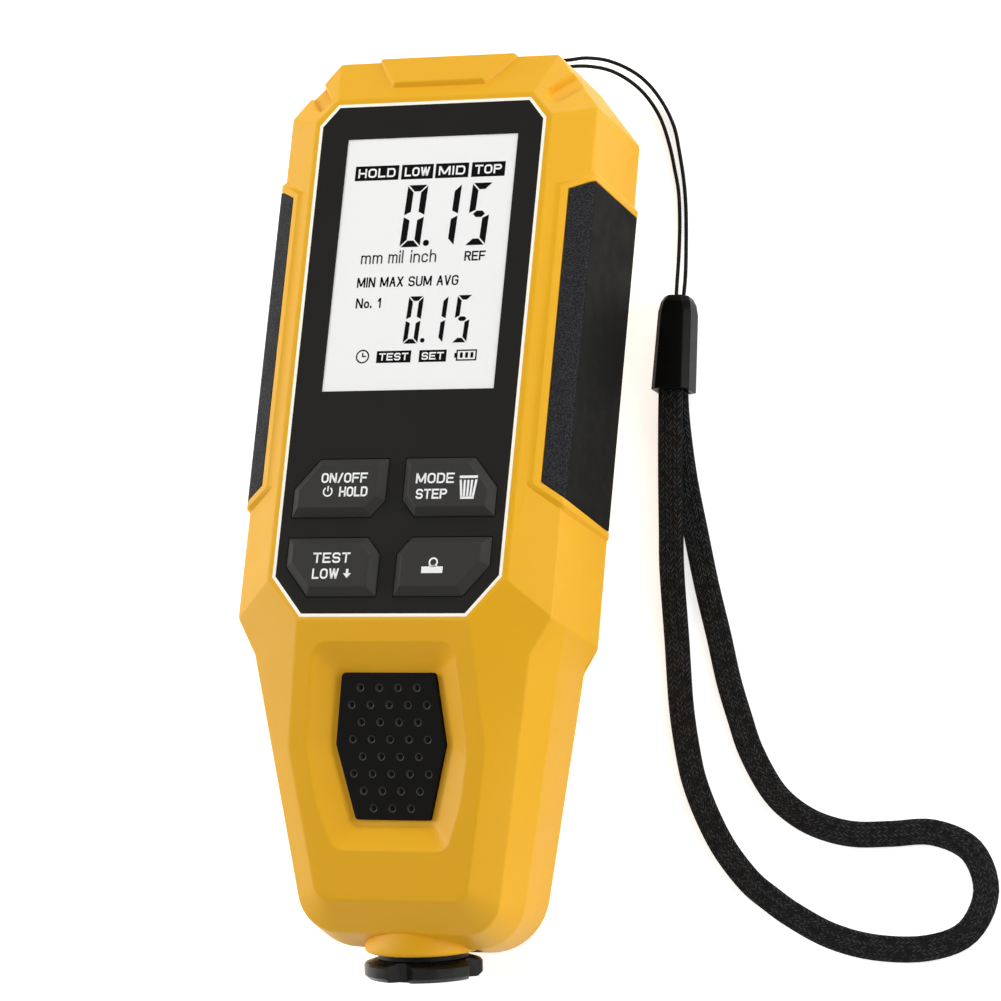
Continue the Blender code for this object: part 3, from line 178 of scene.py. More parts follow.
RECESS_FLOOR_RADII = [1.0, 4.0, 4.0, 1.0]
RECESS_FLOOR_MARGIN = 0.9
RECESS_WALL = (  # height, and how far from rim to floor
    (1.2, -1.0),
    (0.02, -0.13),
    (-0.07, -0.04),
    (-0.2, 0.04),
    (-2.1, 0.9),
    (-2.27, 0.99),
    (-2.35, 1.12),
)

# Probe, along the handle
AXIS_Z = -12.0
NECK_R = 7.9
NECK_WIDE_R = 8.8
NECK_TOP = 42.0
NECK_FLARE = 46.8
NECK_WIDEST = 50.1
NECK_END = 50.85
NECK_END_R = 8.1
RING_R = 6.8
FOOT_R = 8.95
FOOT_TOP = 51.75
FOOT_HIGH = 2.85
FOOT_TURN = 4.5  # degrees
FOOT_NOTCH = ((-1.7, -0.8), (1.0, -4.2), (1.0, 3.4), (-1.7, 0.4))  # out from the foot's edge, and across
PROBE_BORE = 4.4
TIP_R = 2.6
TIP_LONG = 3.2
TIP_PROUD = 0.7
TIP_ROUND = 0.9
STEM_R = 1.5
STEM_PAST = 4.0
SPRING_START = 44.5
SPRING_WIRE = 0.5
SPRING_R = 2.05
SPRING_TURNS = 4


# Materials


class Shade:
    """A node material with one Principled shader, that is built step by step."""

    def __init__(self, name, colour, roughness, **sockets):
        self.material = bpy.data.materials.new(name)
        self.material.use_nodes = True
        self.nodes = self.material.node_tree.nodes
        self.links = self.material.node_tree.links
        self.shader = self.nodes["Principled BSDF"]
        self.shader.inputs["Base Color"].default_value = (*colour, 1.0)
        self.shader.inputs["Roughness"].default_value = roughness
        for key, value in sockets.items():
            self.shader.inputs[key.replace("_", " ")].default_value = value
        self.colour = colour
        self.bumps = None

    def add(self, kind, **values):
        node = self.nodes.new(kind)
        for key, value in values.items():
            if hasattr(node, key) and not key[0].isupper():
                setattr(node, key, value)
            else:
                node.inputs[key.replace("_", " ")].default_value = value
        return node

    def link(self, source, target):
        self.links.new(source, target)

    def place(self, kind="Object"):
        return self.add("ShaderNodeTexCoord").outputs[kind]

    def noise(self, scale, detail=3.0, roughness=0.55, where=None):
        node = self.add("ShaderNodeTexNoise", Scale=scale, Detail=detail, Roughness=roughness)
        self.link(where or self.place(), node.inputs["Vector"])
        return node.outputs["Fac"]

    def ramp(self, source, low, high, start=0.0, end=1.0):
        node = self.add("ShaderNodeMapRange")
        for key, value in zip(("From Min", "From Max", "To Min", "To Max"), (start, end, low, high)):
            node.inputs[key].default_value = value
        self.link(source, node.inputs["Value"])
        return node.outputs["Result"]

    def vary_roughness(self, source, low, high, start=0.3, end=0.7):
        self.link(self.ramp(source, low, high, start, end), self.shader.inputs["Roughness"])

    def vary_colour(self, source, low, high, start=0.3, end=0.7):
        """Colour between two shares of the base colour."""
        mix = self.add("ShaderNodeMix", data_type="RGBA")
        share = self.ramp(source, 0.0, 1.0, start, end)
        self.link(share, mix.inputs["Factor"])
        ends = [socket for socket in mix.inputs if socket.type == "RGBA"]
        for socket, level in zip(ends, (low, high)):
            socket.default_value = (*(min(c * level, 1.0) for c in self.colour), 1.0)
        output = [socket for socket in mix.outputs if socket.type == "RGBA"][0]
        self.link(output, self.shader.inputs["Base Color"])

    def bump(self, source, height, strength=1.0):
        node = self.add("ShaderNodeBump", Strength=strength, Distance=height * MM)
        self.link(source, node.inputs["Height"])
        if self.bumps:
            self.link(self.bumps, node.inputs["Normal"])
        self.bumps = node.outputs["Normal"]
        self.link(self.bumps, self.shader.inputs["Normal"])


def srgb(text):
    """Linear colour from an sRGB hex code."""
    shares = [int(text[i : i + 2], 16) / 255 for i in (0, 2, 4)]
    return [s / 12.92 if s <= 0.04045 else ((s + 0.055) / 1.055) ** 2.4 for s in shares]


def yellow_plastic(name="moulded_yellow", grain=0.018, roughness=0.46):
    """Satin plastic with slight changes of tone and a fine moulded grain."""
    shade = Shade(name, srgb("F0B21B"), roughness, Specular_IOR_Level=0.27)
    shade.vary_colour(shade.noise(35.0, 4.0), 0.975, 1.02)
    shade.vary_roughness(shade.noise(220.0, 4.0), roughness - 0.05, roughness + 0.05)
    shade.bump(shade.noise(2600.0, 2.0), grain, 0.5)
    return shade.material


def grained_rubber():
    """Rubber with a coarse grain, as on the grips' front facets. The grain's peaks are painted lighter, as
    sparkling glints.
    """
    shade = Shade("grained_rubber", srgb("1F1F21"), 0.55, Specular_IOR_Level=0.08)
    grain = shade.noise(4600.0, 2.0, 0.7)
    shade.bump(grain, 0.14)
    shade.vary_roughness(shade.noise(400.0), 0.48, 0.62)
    # Colour follows the grain: lighter on its peaks, painted glints
    shade.vary_colour(grain, 0.3, 3.6, 0.42, 0.68)
    return shade.material


def soft_rubber(name, colour, grain=0.01, specular=0.25, roughness=0.5):
    shade = Shade(name, srgb(colour), roughness, Specular_IOR_Level=specular)
    shade.bump(shade.noise(3000.0, 2.0), grain, 0.6)
    shade.vary_roughness(shade.noise(300.0, 3.0), roughness - 0.06, roughness + 0.06)
    return shade.material


# painted_glow is emission on surfaces that are no lamp: a painted glow that brightens them
def panel_print(name, colour, roughness=0.4, specular=0.06, painted_glow=0.0):
    shade = Shade(name, srgb(colour), roughness, Specular_IOR_Level=specular, Emission_Strength=painted_glow)
    shade.shader.inputs["Emission Color"].default_value = (*srgb(colour), 1.0)
    shade.vary_roughness(shade.noise(160.0, 3.0), roughness - 0.04, roughness + 0.05)
    shade.bump(shade.noise(2200.0, 2.0), 0.004, 0.4)
    return shade.material


def plain_plastic(name, colour, roughness=0.45):
    shade = Shade(name, srgb(colour), roughness)
    shade.vary_roughness(shade.noise(200.0, 3.0), roughness - 0.06, roughness + 0.06)
    shade.vary_colour(shade.noise(60.0, 3.0), 0.94, 1.04)
    return shade.material


def metal(name, colour, roughness):
    shade = Shade(name, srgb(colour), roughness, Metallic=1.0)
    shade.vary_roughness(shade.noise(500.0, 3.0), roughness * 0.8, roughness * 1.25)
    return shade.material


def board_mask():
    """Green solder mask with tracks, from a brick pattern."""
    shade = Shade("solder_mask", srgb("1E6B3A"), 0.35)
    where = shade.add("ShaderNodeTexBrick", Scale=260.0)
    shade.link(shade.place(), where.inputs["Vector"])
    shade.vary_colour(where.outputs["Fac"], 0.9, 1.5, 0.0, 1.0)
    shade.vary_roughness(shade.noise(300.0, 3.0), 0.3, 0.45)
    return shade.material


def braid():
    """Flat braid: columns of slanting stitches that meet in a zigzag, mapped along and across the strap."""
    shade = Shade("braided_black", srgb("0F0F10"), 0.62, Specular_IOR_Level=0.14)
    where = shade.add("ShaderNodeSeparateXYZ")
    shade.link(shade.place("UV"), where.inputs["Vector"])

    def sums(operation, source, second, third=None):
        node = shade.add("ShaderNodeMath", operation=operation)
        for socket, value in zip(node.inputs, (source, second, third)):
            if isinstance(value, (int, float)):
                socket.default_value = value
            elif value is not None:
                shade.link(value, socket)
        return node.outputs[0]

    zigzag = sums("PINGPONG", where.outputs["Y"], 0.65)
    along = sums("MULTIPLY_ADD", zigzag, 1.5, where.outputs["X"])
    stitch = shade.ramp(sums("SINE", sums("MULTIPLY", along, 2 * math.pi / 0.85), 0.0), 0.0, 1.0, -1.0, 0.6)
    column = shade.ramp(sums("ABSOLUTE", sums("SUBTRACT", zigzag, 0.325), 0.0), 1.0, 0.0, 0.16, 0.325)
    height = sums("MULTIPLY", stitch, column)
    shade.bump(height, 0.32)
    shade.bump(shade.noise(4000.0, 3.0), 0.05, 0.6)
    # Colour follows stitch height, in patches by noise: painted shade between the stitches and painted
    # highlights on their crowns
    patchy_sheen = shade.ramp(shade.noise(1100.0, 2.0), 0.05, 2.2, 0.4, 0.62)
    shade.vary_colour(sums("MULTIPLY", height, patchy_sheen), 0.1, 8.0, 0.15, 1.3)
    return shade.material


YELLOW = yellow_plastic()
NECK_YELLOW = yellow_plastic("moulded_yellow_neck", 0.05, 0.5)
GRIP = grained_rubber()
KEY = soft_rubber("key_rubber", "343332", 0.012, 0.12)
PAD_RUBBER = soft_rubber("pad_rubber", "0F0E0D", 0.02, 0.06)
# The dimple walls get a lighter, glossier rubber than the pad: painted highlight
PIT_WALL_PAINTED_HIGHLIGHT = soft_rubber("pit_rubber", "262626", 0.0, 0.5, 0.3)
SMOOTH_RUBBER = soft_rubber("smooth_rubber", "0D0D0C", 0.012, 0.04)
PANEL_BLACK = panel_print("panel_black", "222120")
# The white trim has a painted glow, so it looks brighter than the lamps make it
TRIM_WHITE_PAINTED_GLOW = panel_print("trim_white_painted_glow", "FFFAEA", 0.5, painted_glow=0.13)
# The display field and the light words on it have a painted glow that brightens them
DISPLAY_WHITE_PAINTED_GLOW = panel_print("display_field", "F5F5F4", 0.35, painted_glow=0.1)
PRINT_WHITE = panel_print("print_white", "FFFFFF", 0.5)
SEGMENT = panel_print("display_segment", "050505", 0.5, 0.05)
BLACK = soft_rubber("foot_black", "131312", 0.004, 0.22, 0.26)
CLASP = soft_rubber("clasp_black", "0B0B0A", 0.006, 0.06, 0.28)
RING = metal("ring_metal", "1D1C1A", 0.4)
STEEL = metal("steel", "B8B8BA", 0.3)
COPPER = metal("coil_copper", "C9814F", 0.35)
JACKET = plain_plastic("cell_jacket", "5A5C66", 0.3)
DIM_WHITE = plain_plastic("diffuser_white", "E8E8E4", 0.6)
SILICONE = plain_plastic("silicone_mat", "BDBDB8", 0.6)
CLEAR = plain_plastic("display_glass", "DDE0E1", 0.15)
PART_BLACK = plain_plastic("component_black", "242424", 0.4)
MASK = board_mask()
BRAID = braid()
CORD = soft_rubber("cord_black", "0E0E0E", 0.03, 0.1)


# Geometry helpers


def placed(name, data):
    """An object with this data, in the scene."""
    made = bpy.data.objects.new(name, data)
    bpy.context.collection.objects.link(made)
    return made


def piece_from(name, work, finish, place):
    """A piece on the table, from a bmesh in millimetres."""
    work.transform(Matrix.Scale(MM, 4) @ place)
    mesh = bpy.data.meshes.new(name)
    work.to_mesh(mesh)
    work.free()
    mesh.materials.append(finish)
    return placed(name, mesh)


def tidy(work):
    bmesh.ops.triangulate(work, faces=work.faces)
    bmesh.ops.recalc_face_normals(work, faces=work.faces)


def solid(name, points, faces, finish, place, bevel=0.0, angle=12.0, steps=3):
    """A mesh object on the table, in metres. Edges sharper than angle are rounded by bevel millimetres."""
    work = bmesh.new()
    corners = [work.verts.new(p) for p in points]
    for face in faces:
        work.faces.new([corners[i] for i in face])
    work.normal_update()
    bmesh.ops.recalc_face_normals(work, faces=work.faces)
    if bevel:
        limit = math.radians(angle)
        edges = [e for e in work.edges if e.is_manifold and e.calc_face_angle() > limit]
        bmesh.ops.bevel(
            work, geom=edges, offset=bevel, segments=steps, profile=0.5, affect="EDGES", clamp_overlap=True
        )
    tidy(work)
    return piece_from(name, work, finish, place)


def loft(name, rings, finish=YELLOW, place=GAUGE, caps=None, **rounding):
    count = len(rings[0])
    points = [p for ring in rings for p in ring]
    faces = []
    for level in range(len(rings) - 1):
        low, high = level * count, (level + 1) * count
        for i in range(count):
            j = (i + 1) % count
            faces.append((low + i, high + i, high + j, low + j))
    last = (len(rings) - 1) * count
    for cap in caps or [list(range(count))]:
        faces.append(tuple(cap))
        faces.append(tuple(last + i for i in reversed(cap)))
    return solid(name, points, faces, finish, place, **rounding)


def prism(name, outline, z_top, z_low, finish=YELLOW, place=GAUGE, **rounding):
    rings = [[(x, y, z) for x, y in outline] for z in (z_top, z_low)]
    return loft(name, rings, finish, place, **rounding)


def turned(name, profile, finish, place, steps=64, **rounding):
    rings = []
    for radius, along in profile:
        turn = [2 * math.pi * i / steps for i in range(steps)]
        rings.append([(radius * math.cos(a), -radius * math.sin(a), along) for a in turn])
    return loft(name, rings, finish, place, **rounding)


def rod(name, radius, ends, finish, place, steps=64):
    return turned(name, [(radius, along) for along in ends], finish, place, steps)


def wire(name, line, radius, finish):
    """A closed tube along points in millimetres."""
    curve = bpy.data.curves.new(name, "CURVE")
    curve.dimensions = "3D"
    curve.bevel_depth = radius * MM
    curve.bevel_resolution = 3
    curve.use_fill_caps = True
    spline = curve.splines.new("POLY")
    spline.points.add(len(line) - 1)
    for point, spot in zip(spline.points, line):
        point.co = (*(spot * MM), 1.0)
    curve.materials.append(finish)
    return placed(name, curve)


def cut(target, helper, operation="DIFFERENCE"):
    """Cuts with a helper and removes the helper."""
    step = target.modifiers.new("form", "BOOLEAN")
    step.operation = operation
    step.object = helper
    step.solver = "EXACT"
    settle(target)
    bpy.data.objects.remove(helper)


def join(target, helper):
    cut(target, helper, "UNION")


def settle(target):
    """Puts the modifiers' result in the mesh."""
    graph = bpy.context.evaluated_depsgraph_get()
    done = bpy.data.meshes.new_from_object(target.evaluated_get(graph))
    target.modifiers.clear()
    target.data = done


def finish_piece(piece, body, replaced=(), sharp=35.0, weighted=True):
    """Smooth shading with sharp edges kept, and the piece's place in the frame."""
    mesh = piece.data
    if piece.type == "MESH":
        mesh.polygons.foreach_set("use_smooth", [True] * len(mesh.polygons))
        mesh.set_sharp_from_angle(angle=math.radians(sharp))
        if weighted:
            normals = piece.modifiers.new("normals", "WEIGHTED_NORMAL")
            normals.keep_sharp = True
    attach(piece, body)
    if replaced:
        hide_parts(*replaced)
    return piece


def mirrored(half):
    return list(half) + [(-p[0], *p[1:]) for p in reversed(half)]


def corner(before, here, after, radius, steps):
    """The points of the arc that rounds one corner."""
    back, ahead = (before - here).normalized(), (after - here).normalized()
    half = back.angle(ahead) / 2
    reach = radius / math.tan(half)
    centre = here + (back + ahead).normalized() * radius / math.sin(half)
    start, end = here + back * reach - centre, here + ahead * reach - centre
    sweep = start.angle_signed(end)
    arc = [start.copy() for _ in range(steps + 1)]
    for k, spoke in enumerate(arc):
        spoke.rotate(Matrix.Rotation(-sweep * k / steps, 2))
    return [tuple(centre + spoke) for spoke in arc]


def rounded(outline, radii, steps=4):
    """Rounds the corners of a clockwise outline. radii is one radius or one for each corner."""
    count = len(outline)
    radii = radii if isinstance(radii, (list, tuple)) else [radii] * count
    points = []
    for i in range(count):
        before, here, after = (Vector(outline[(i + k) % count]) for k in (-1, 0, 1))
        points += corner(before, here, after, radii[i], steps)
    return points


def offset(outline, distance):
    """Moves each edge of a clockwise outline outwards."""
    moved = []
    count = len(outline)
    for i in range(count):
        before, here, after = (Vector(outline[(i + k) % count]) for k in (-1, 0, 1))
        into, out = (here - before).normalized(), (after - here).normalized()
        normals = Vector((-into.y, into.x)), Vector((-out.y, out.x))
        middle = (normals[0] + normals[1]).normalized()
        moved.append(tuple(here + middle * distance / middle.dot(normals[0])))
    return moved


def block(name, x, y, z, finish=YELLOW, place=GAUGE, **rounding):
    outline = [(x[0], y[1]), (x[1], y[1]), (x[1], y[0]), (x[0], y[0])]
    return prism(name, outline, z[1], z[0], finish, place, **rounding)


def mirrored_radii(radii):
    return list(radii) + list(reversed(radii))


# Housing


def handle_half(outline, end_z=None):
    x_high, y_high, x_low, y_low, y_end, radius, z = outline
    slope = (x_low - x_high) / (y_low - y_high)
    corner_x = x_high + slope * (y_end - y_high)
    side = Vector((x_high, y_high))
    arc = corner(side, Vector((corner_x, y_end)), Vector((0.0, y_end)), radius, CORNER_STEPS)
    middle_y = (y_high + arc[0][1]) / 2
    flat = [(x_high, y_high), (x_high + slope * (middle_y - y_high), middle_y)] + arc
    depth_end = z if end_z is None else end_z
    share = [0.0, 0.0] + [k / CORNER_STEPS for k in range(CORNER_STEPS + 1)]
    return [(x, y, z + (depth_end - z) * t) for (x, y), t in zip(flat, share)]


def to_body(point):
    x, y, z = point
    return (
        x,
        FOLD_Y + y * math.cos(BEND) - z * math.sin(BEND),
        y * math.sin(BEND) + z * math.cos(BEND),
    )


def body_ring(top, side, waist, z, handle, waist_z=None, end_z=None):
    upper = [(*top, z), (*side, z), (*waist, z if waist_z is None else waist_z)]
    return mirrored(upper + [to_body(p) for p in handle_half(handle, end_z)])


def bent_caps(count):
    fold, half = 3, count // 2
    upper = list(range(fold + 1)) + list(range(count - 1 - fold, count))
    lower = list(range(fold, half)) + list(range(half, count - fold))
    return [upper, lower]


def part_outlines():
    top = (RIDGE_TOP[0] + 0.1, RIDGE_TOP[1] + PART_FLARE)
    side = (RIDGE_SIDE[0] + PART_FLARE, RIDGE_SIDE[1] + 0.1)
    waist = (WAIST[0] + WAIST_FLARE, WAIST[1])
    return top, side, waist


def front_ring():
    handle = handle_half(HANDLE_FRONT)
    handle[1] = handle[0]
    handle[0] = (LIP_FOLD_X, 0.0, 0.0)
    upper = [(*LIP_TOP, 0.0), (*LIP_SIDE, 0.0), (*LIP_LOW, 0.0)]
    return mirrored(upper + [to_body(p) for p in handle])


def facet_point(along, x, rise):
    run, drop = RIDGE_TOP[1] - LIP_TOP[1], RIDGE_Z
    length = math.hypot(run, drop)
    y = LIP_TOP[1] + along * run / length - rise * drop / length
    return (x, y, along * drop / length + rise * run / length)


def facet_z(x):
    return (x - LIP_SIDE[0]) / (RIDGE_SIDE[0] - LIP_SIDE[0]) * RIDGE_Z


def grip_end(x, y_edge):
    return y_edge + math.copysign(GRIP_TAPER, y_edge) * (x - GRIP_OUT_X)


def grip_section(x_in, rise, sink, low_z):
    x_out = GRIP_OUT_X + rise - GRIP_RISE
    lift = rise * 1.2
    return [
        (x_in, facet_z(x_in) + lift),
        (x_out - 0.5, facet_z(x_out - 0.5) + lift),
        (x_out, facet_z(x_out) + lift - 0.3),
        (x_out + GRIP_DRAFT, low_z),
        (x_out + GRIP_DRAFT - sink - rise, low_z),
        (x_out - sink - rise, RIDGE_Z - sink),
        (x_in, facet_z(x_in) - sink),
    ]


def grip_form(name, side, grow, rise, sink, low_z, finish, **rounding):
    """The wrap over facet and side wall: grow widens its outline, rise and sink are out and in."""
    section = grip_section(GRIP_IN_X - grow, rise, sink, low_z)
    rings = [[(side * x, grip_end(x, y), z) for x, z in section] for y in (GRIP_TOP + grow, GRIP_LOW - grow)]
    return loft(name, rings, finish, GAUGE, **rounding)


def rim_form(side):
    """The raised rim round a grip. Its outer side slopes down to facet and wall."""
    sink, low_z = 0.6, PART_Z - SPARE + 1.0
    buried = -0.25
    high, low = GRIP_RIM_RISE, buried
    inner, outer = GRIP_RIM - GRIP_RIM_SLOPE, GRIP_RIM + 0.35
    rings = []
    for y_end, x_in, rise in (
        (GRIP_TOP + outer, GRIP_IN_X - inner, low),
        (GRIP_TOP + inner, GRIP_IN_X - inner, high),
        (GRIP_LOW - inner, GRIP_IN_X - inner, high),
        (GRIP_LOW - outer, GRIP_IN_X - inner, low),
    ):
        section = grip_section(x_in, rise, sink, low_z)
        foot = GRIP_IN_X - outer
        section.insert(0, (foot, facet_z(foot) + low * 1.2))
        section[-1] = (foot, facet_z(foot) - sink)
        rings.append([(side * x, grip_end(x, y_end), z) for x, z in section])
    return loft(f"rim_{side}", rings, bevel=0.18, steps=2, angle=20.0)


def bent_slab(top, low):
    """A slab across the whole gauge, from one distance over the parting line to another."""
    profile = []
    for lift, order in ((top, 1), (low, -1)):
        fold = PART_FOLD_Y + math.tan(BEND / 2) * lift
        far = to_body((0.0, -70.0, HANDLE_PART_Z + lift))
        line = [(70.0, PART_Z + lift), to_body((0.0, fold, HANDLE_PART_Z + lift))[1:], far[1:]]
        profile += line[::order]
    return loft("slab", [[(x, y, z) for y, z in profile] for x in (40.0, -40.0)])


def probe_place():
    return HANDLE @ Matrix.Translation((0.0, 0.0, AXIS_Z)) @ Matrix.Rotation(math.radians(90), 4, "X")


def front_shell():
    top, side, waist = part_outlines()
    middle = (BREAK_Z - RIDGE_Z) / (PART_Z - RIDGE_Z)
    break_points = [
        tuple(a + (b - a) * middle for a, b in zip(low, high))
        for low, high in ((RIDGE_TOP, top), (RIDGE_SIDE, side), (WAIST, waist))
    ]
    rings = [
        front_ring(),
        body_ring(RIDGE_TOP, RIDGE_SIDE, WAIST, RIDGE_Z, HANDLE_RIDGE, RIDGE_Z - 0.2, HANDLE_RIDGE_END_Z),
        body_ring(*break_points, BREAK_Z, HANDLE_BREAK),
        body_ring(top, side, waist, PART_Z, HANDLE_PART),
    ]
    reach = 1.0 + SPARE / (BREAK_Z - PART_Z)
    rings[-1] = [tuple(Vector(a).lerp(Vector(b), reach)) for a, b in zip(rings[-2], rings[-1])]
    caps = bent_caps(len(rings[0]))
    shell = loft("housing_front", rings, caps=caps, bevel=0.28, angle=11.0)
    add_boss(shell)
    for hand in (-1, 1):
        join(shell, rim_form(hand))
    seat = offset(mirrored(PANEL), TRIM + 0.02)
    cut(shell, prism("seat", seat, 2.0, -PANEL_THICK - PANEL_SINK - GAP))
    hollow(shell)
    cut_notches(shell)
    for hand in (-1, 1):
        sink, low = GRIP_THICK + GAP, PART_Z - 4.0
        cut(shell, grip_form(f"pocket_{hand}", hand, -GAP / 2 + SEAM, 3.0, sink, low, YELLOW))
    cut_recess(shell)
    cut_lanyard_pocket(shell)
    cut(shell, probe_bore())
    cut(shell, bent_slab(0.0, -12.0))
    return finish_piece(shell, "case", ["front_shell"])


def hollow(shell):
    """The room inside, the display and key windows, and the screw bosses."""
    rings = []
    for z, side, top, low in (
        (CAVITY_TOP_Z, CAVITY_TOP_HALF, CAVITY_TOP_Y - 3.4, CAVITY_LOW_Y + 2.0),
        (CAVITY_SHOULDER_Z, CAVITY_SIDE, CAVITY_TOP_Y, CAVITY_LOW_Y),
        (PART_Z - 12.0, CAVITY_SIDE, CAVITY_TOP_Y, CAVITY_LOW_Y),
    ):
        rings.append(mirrored([(side - CAVITY_CUT, top, z), (side, top - CAVITY_CUT, z), (side, low, z)]))
    cut(shell, loft("cavity", rings))
    x_high, y_high, x_low, y_low, roof = HANDLE_CAVITY
    room = mirrored([(x_high, 1.0), (x_high, y_high), (x_low, y_low)])
    cut(shell, prism("handle_cavity", room, roof, HANDLE_PART_Z - 12.0, YELLOW, HANDLE))
    margin, reach = 1.5, KEY_ROW_GAP / 2 + KEY_HIGH + 0.5
    display = [(LCD[1] + margin, LCD[3] + margin), (LCD[1] + margin, LCD[2] - margin)]
    wide, high, low = KEY_OUT + 0.5, KEY_MID_Y + reach, KEY_MID_Y - reach
    key_room = [(wide, high), (wide, low + KEY_BIG[1]), (wide - KEY_BIG[0], low)]
    for half in (display, key_room):
        cut(shell, prism("window", mirrored(half), 1.0, CAVITY_TOP_Z - 1.0))
    for hand in (-1, 1):
        for spot, place, top, low in (
            (SCREW_TOP, GAUGE, CAVITY_SHOULDER_Z + 1.5, PART_Z),
            (SCREW_LOW, HANDLE, HANDLE_CAVITY[4] + 1.0, HANDLE_PART_Z),
        ):
            place = place @ Matrix.Translation((hand * spot[0], spot[1], 0.0))
            join(shell, rod("boss", BOSS_R, (low - 1.5, top), YELLOW, place, 24))
            cut(shell, rod("pilot", SCREW_R + GAP, (low - 4.0, low + SCREW_LENGTH), YELLOW, place, 16))


def add_boss(shell):
    """The raised trapezoid on the top facet."""
    run = math.hypot(RIDGE_TOP[1] - LIP_TOP[1], RIDGE_Z)
    low, high = BOSS_START, run - 0.05
    rings = []
    for rise, shrink in ((BOSS_RISE, BOSS_SLOPE), (-1.2, -0.4)):
        rings.append(
            [
                facet_point(high, -BOSS_HALF_OUT + shrink, rise),
                facet_point(high, BOSS_HALF_OUT - shrink, rise),
                facet_point(low + shrink, BOSS_HALF_IN - shrink, rise),
                facet_point(low + shrink, -BOSS_HALF_IN + shrink, rise),
            ]
        )
    join(shell, loft("boss", rings, bevel=0.2, steps=2))


def cut_notches(shell):
    """A notch in each corner facet, with a rounded end, open at the outer edge."""
    outer = (Vector(RIDGE_TOP) + Vector(RIDGE_SIDE)) / 2
    inner = (Vector(LIP_TOP) + Vector(LIP_SIDE)) / 2
    into = (inner - outer).normalized()
    fall = RIDGE_Z / (inner - outer).length
    across = Vector((-into.y, into.x))
    for side in (-1, 1):
        rings = []
        for lift, grow in ((3.0, 0.75), (0.15, 0.28), (-0.1, 0.08), (-NOTCH_DEPTH, -0.25)):
            half = NOTCH_WIDTH / 2 + grow
            ring = []
            for step in range(13):
                turn = math.pi * step / 12
                reach = NOTCH_LENGTH - NOTCH_WIDTH / 2 + half * math.sin(turn)
                ring.append(outer + into * reach + across * half * math.cos(turn))
            ring += [outer - into * 3 - across * half, outer - into * 3 + across * half]
            depth = [RIDGE_Z - fall * (spot - outer).dot(into) + lift for spot in ring]
            rings.append([(side * spot.x, spot.y, z) for spot, z in zip(ring, depth)])
        cut(shell, loft("notch", rings))


def cut_recess(shell):
    """The recess with sloping walls and soft edges, and the pocket that the pad is stuck in."""
    pad = mirrored(PAD)
    upper, middle, lower = (Vector(p) for p in offset(pad, RECESS_FLOOR_MARGIN)[: len(PAD)])
    floor = mirrored([tuple(p) for p in (upper, middle, middle.lerp(lower, 0.5), lower)])
    rim = rounded(mirrored(RECESS), mirrored_radii(RECESS_RADII), 7)
    floor = rounded(floor, mirrored_radii(RECESS_FLOOR_RADII), 7)
    rings = []
    for depth, share in RECESS_WALL:
        rings.append([(*Vector(r).lerp(Vector(f), share), depth) for r, f in zip(rim, floor)])
    cut(shell, loft("recess", rings, YELLOW, HANDLE))
    pocket = rounded(offset(pad, SEAM), 0.6)
    cut(shell, prism("pad_pocket", pocket, 1.0, PAD_Z - PAD_THICK - GAP, YELLOW, HANDLE))


def cut_lanyard_pocket(shell):
    """The pocket in the top end wall and its bar, that the cord runs round."""
    wide, high = (LOOP_X - LOOP_HALF, LOOP_X + LOOP_HALF), (LOOP_Z - LOOP_HALF_HIGH, LOOP_Z + LOOP_HALF_HIGH)
    pocket = block("pocket", wide, (RIDGE_TOP[1] - LOOP_DEEP, RIDGE_TOP[1] + 2.0), high, bevel=0.5)
    cut(shell, pocket)
    place = GAUGE @ Matrix.Translation((LOOP_X, RIDGE_TOP[1] - LOOP_BAR_IN, 0.0))
    join(shell, rod("bar", LOOP_BAR_R, (high[0] - 0.6, high[1] + 0.6), YELLOW, place, 24))


def probe_bore():
    profile = [
        (NECK_R + SEAM, NECK_TOP - 3.0),
        (NECK_R + SEAM, NECK_FLARE),
        (NECK_WIDE_R + SEAM, NECK_WIDEST),
        (NECK_WIDE_R + SEAM, FOOT_TOP + FOOT_HIGH + 3.0),
    ]
    return turned("bore", profile, YELLOW, probe_place())


# Back of the housing


def inward(distance, z, z_high, z_low):
    """The parting outline moved in, at depth z, with the handle's back from z_high to z_low."""
    top, side, waist = part_outlines()
    x_high, y_high, x_low, y_low, y_end, radius, _ = HANDLE_PART
    lifted = (top[0] - distance * 0.45, top[1] - distance)
    flank = (side[0] - distance, side[1] - distance * 0.45)
    lean = math.tan(BEND / 2) * (z_high - HANDLE_PART_Z)
    end = y_end + distance
    radius = max(radius - distance / 2, 1.0)
    ring = handle_half((x_high - distance, y_high + lean, x_low - distance, y_low, end, radius, z_high))
    drop = [(y_high + lean - y) / (y_high + lean - end) for _, y, _ in ring]
    ring = [(x, y, z_high + (z_low - z_high) * d) for (x, y, _), d in zip(ring, drop)]
    upper = [(*lifted, z), (*flank, z), (waist[0] - distance, waist[1], z)]
    return mirrored(upper + [to_body(p) for p in ring])


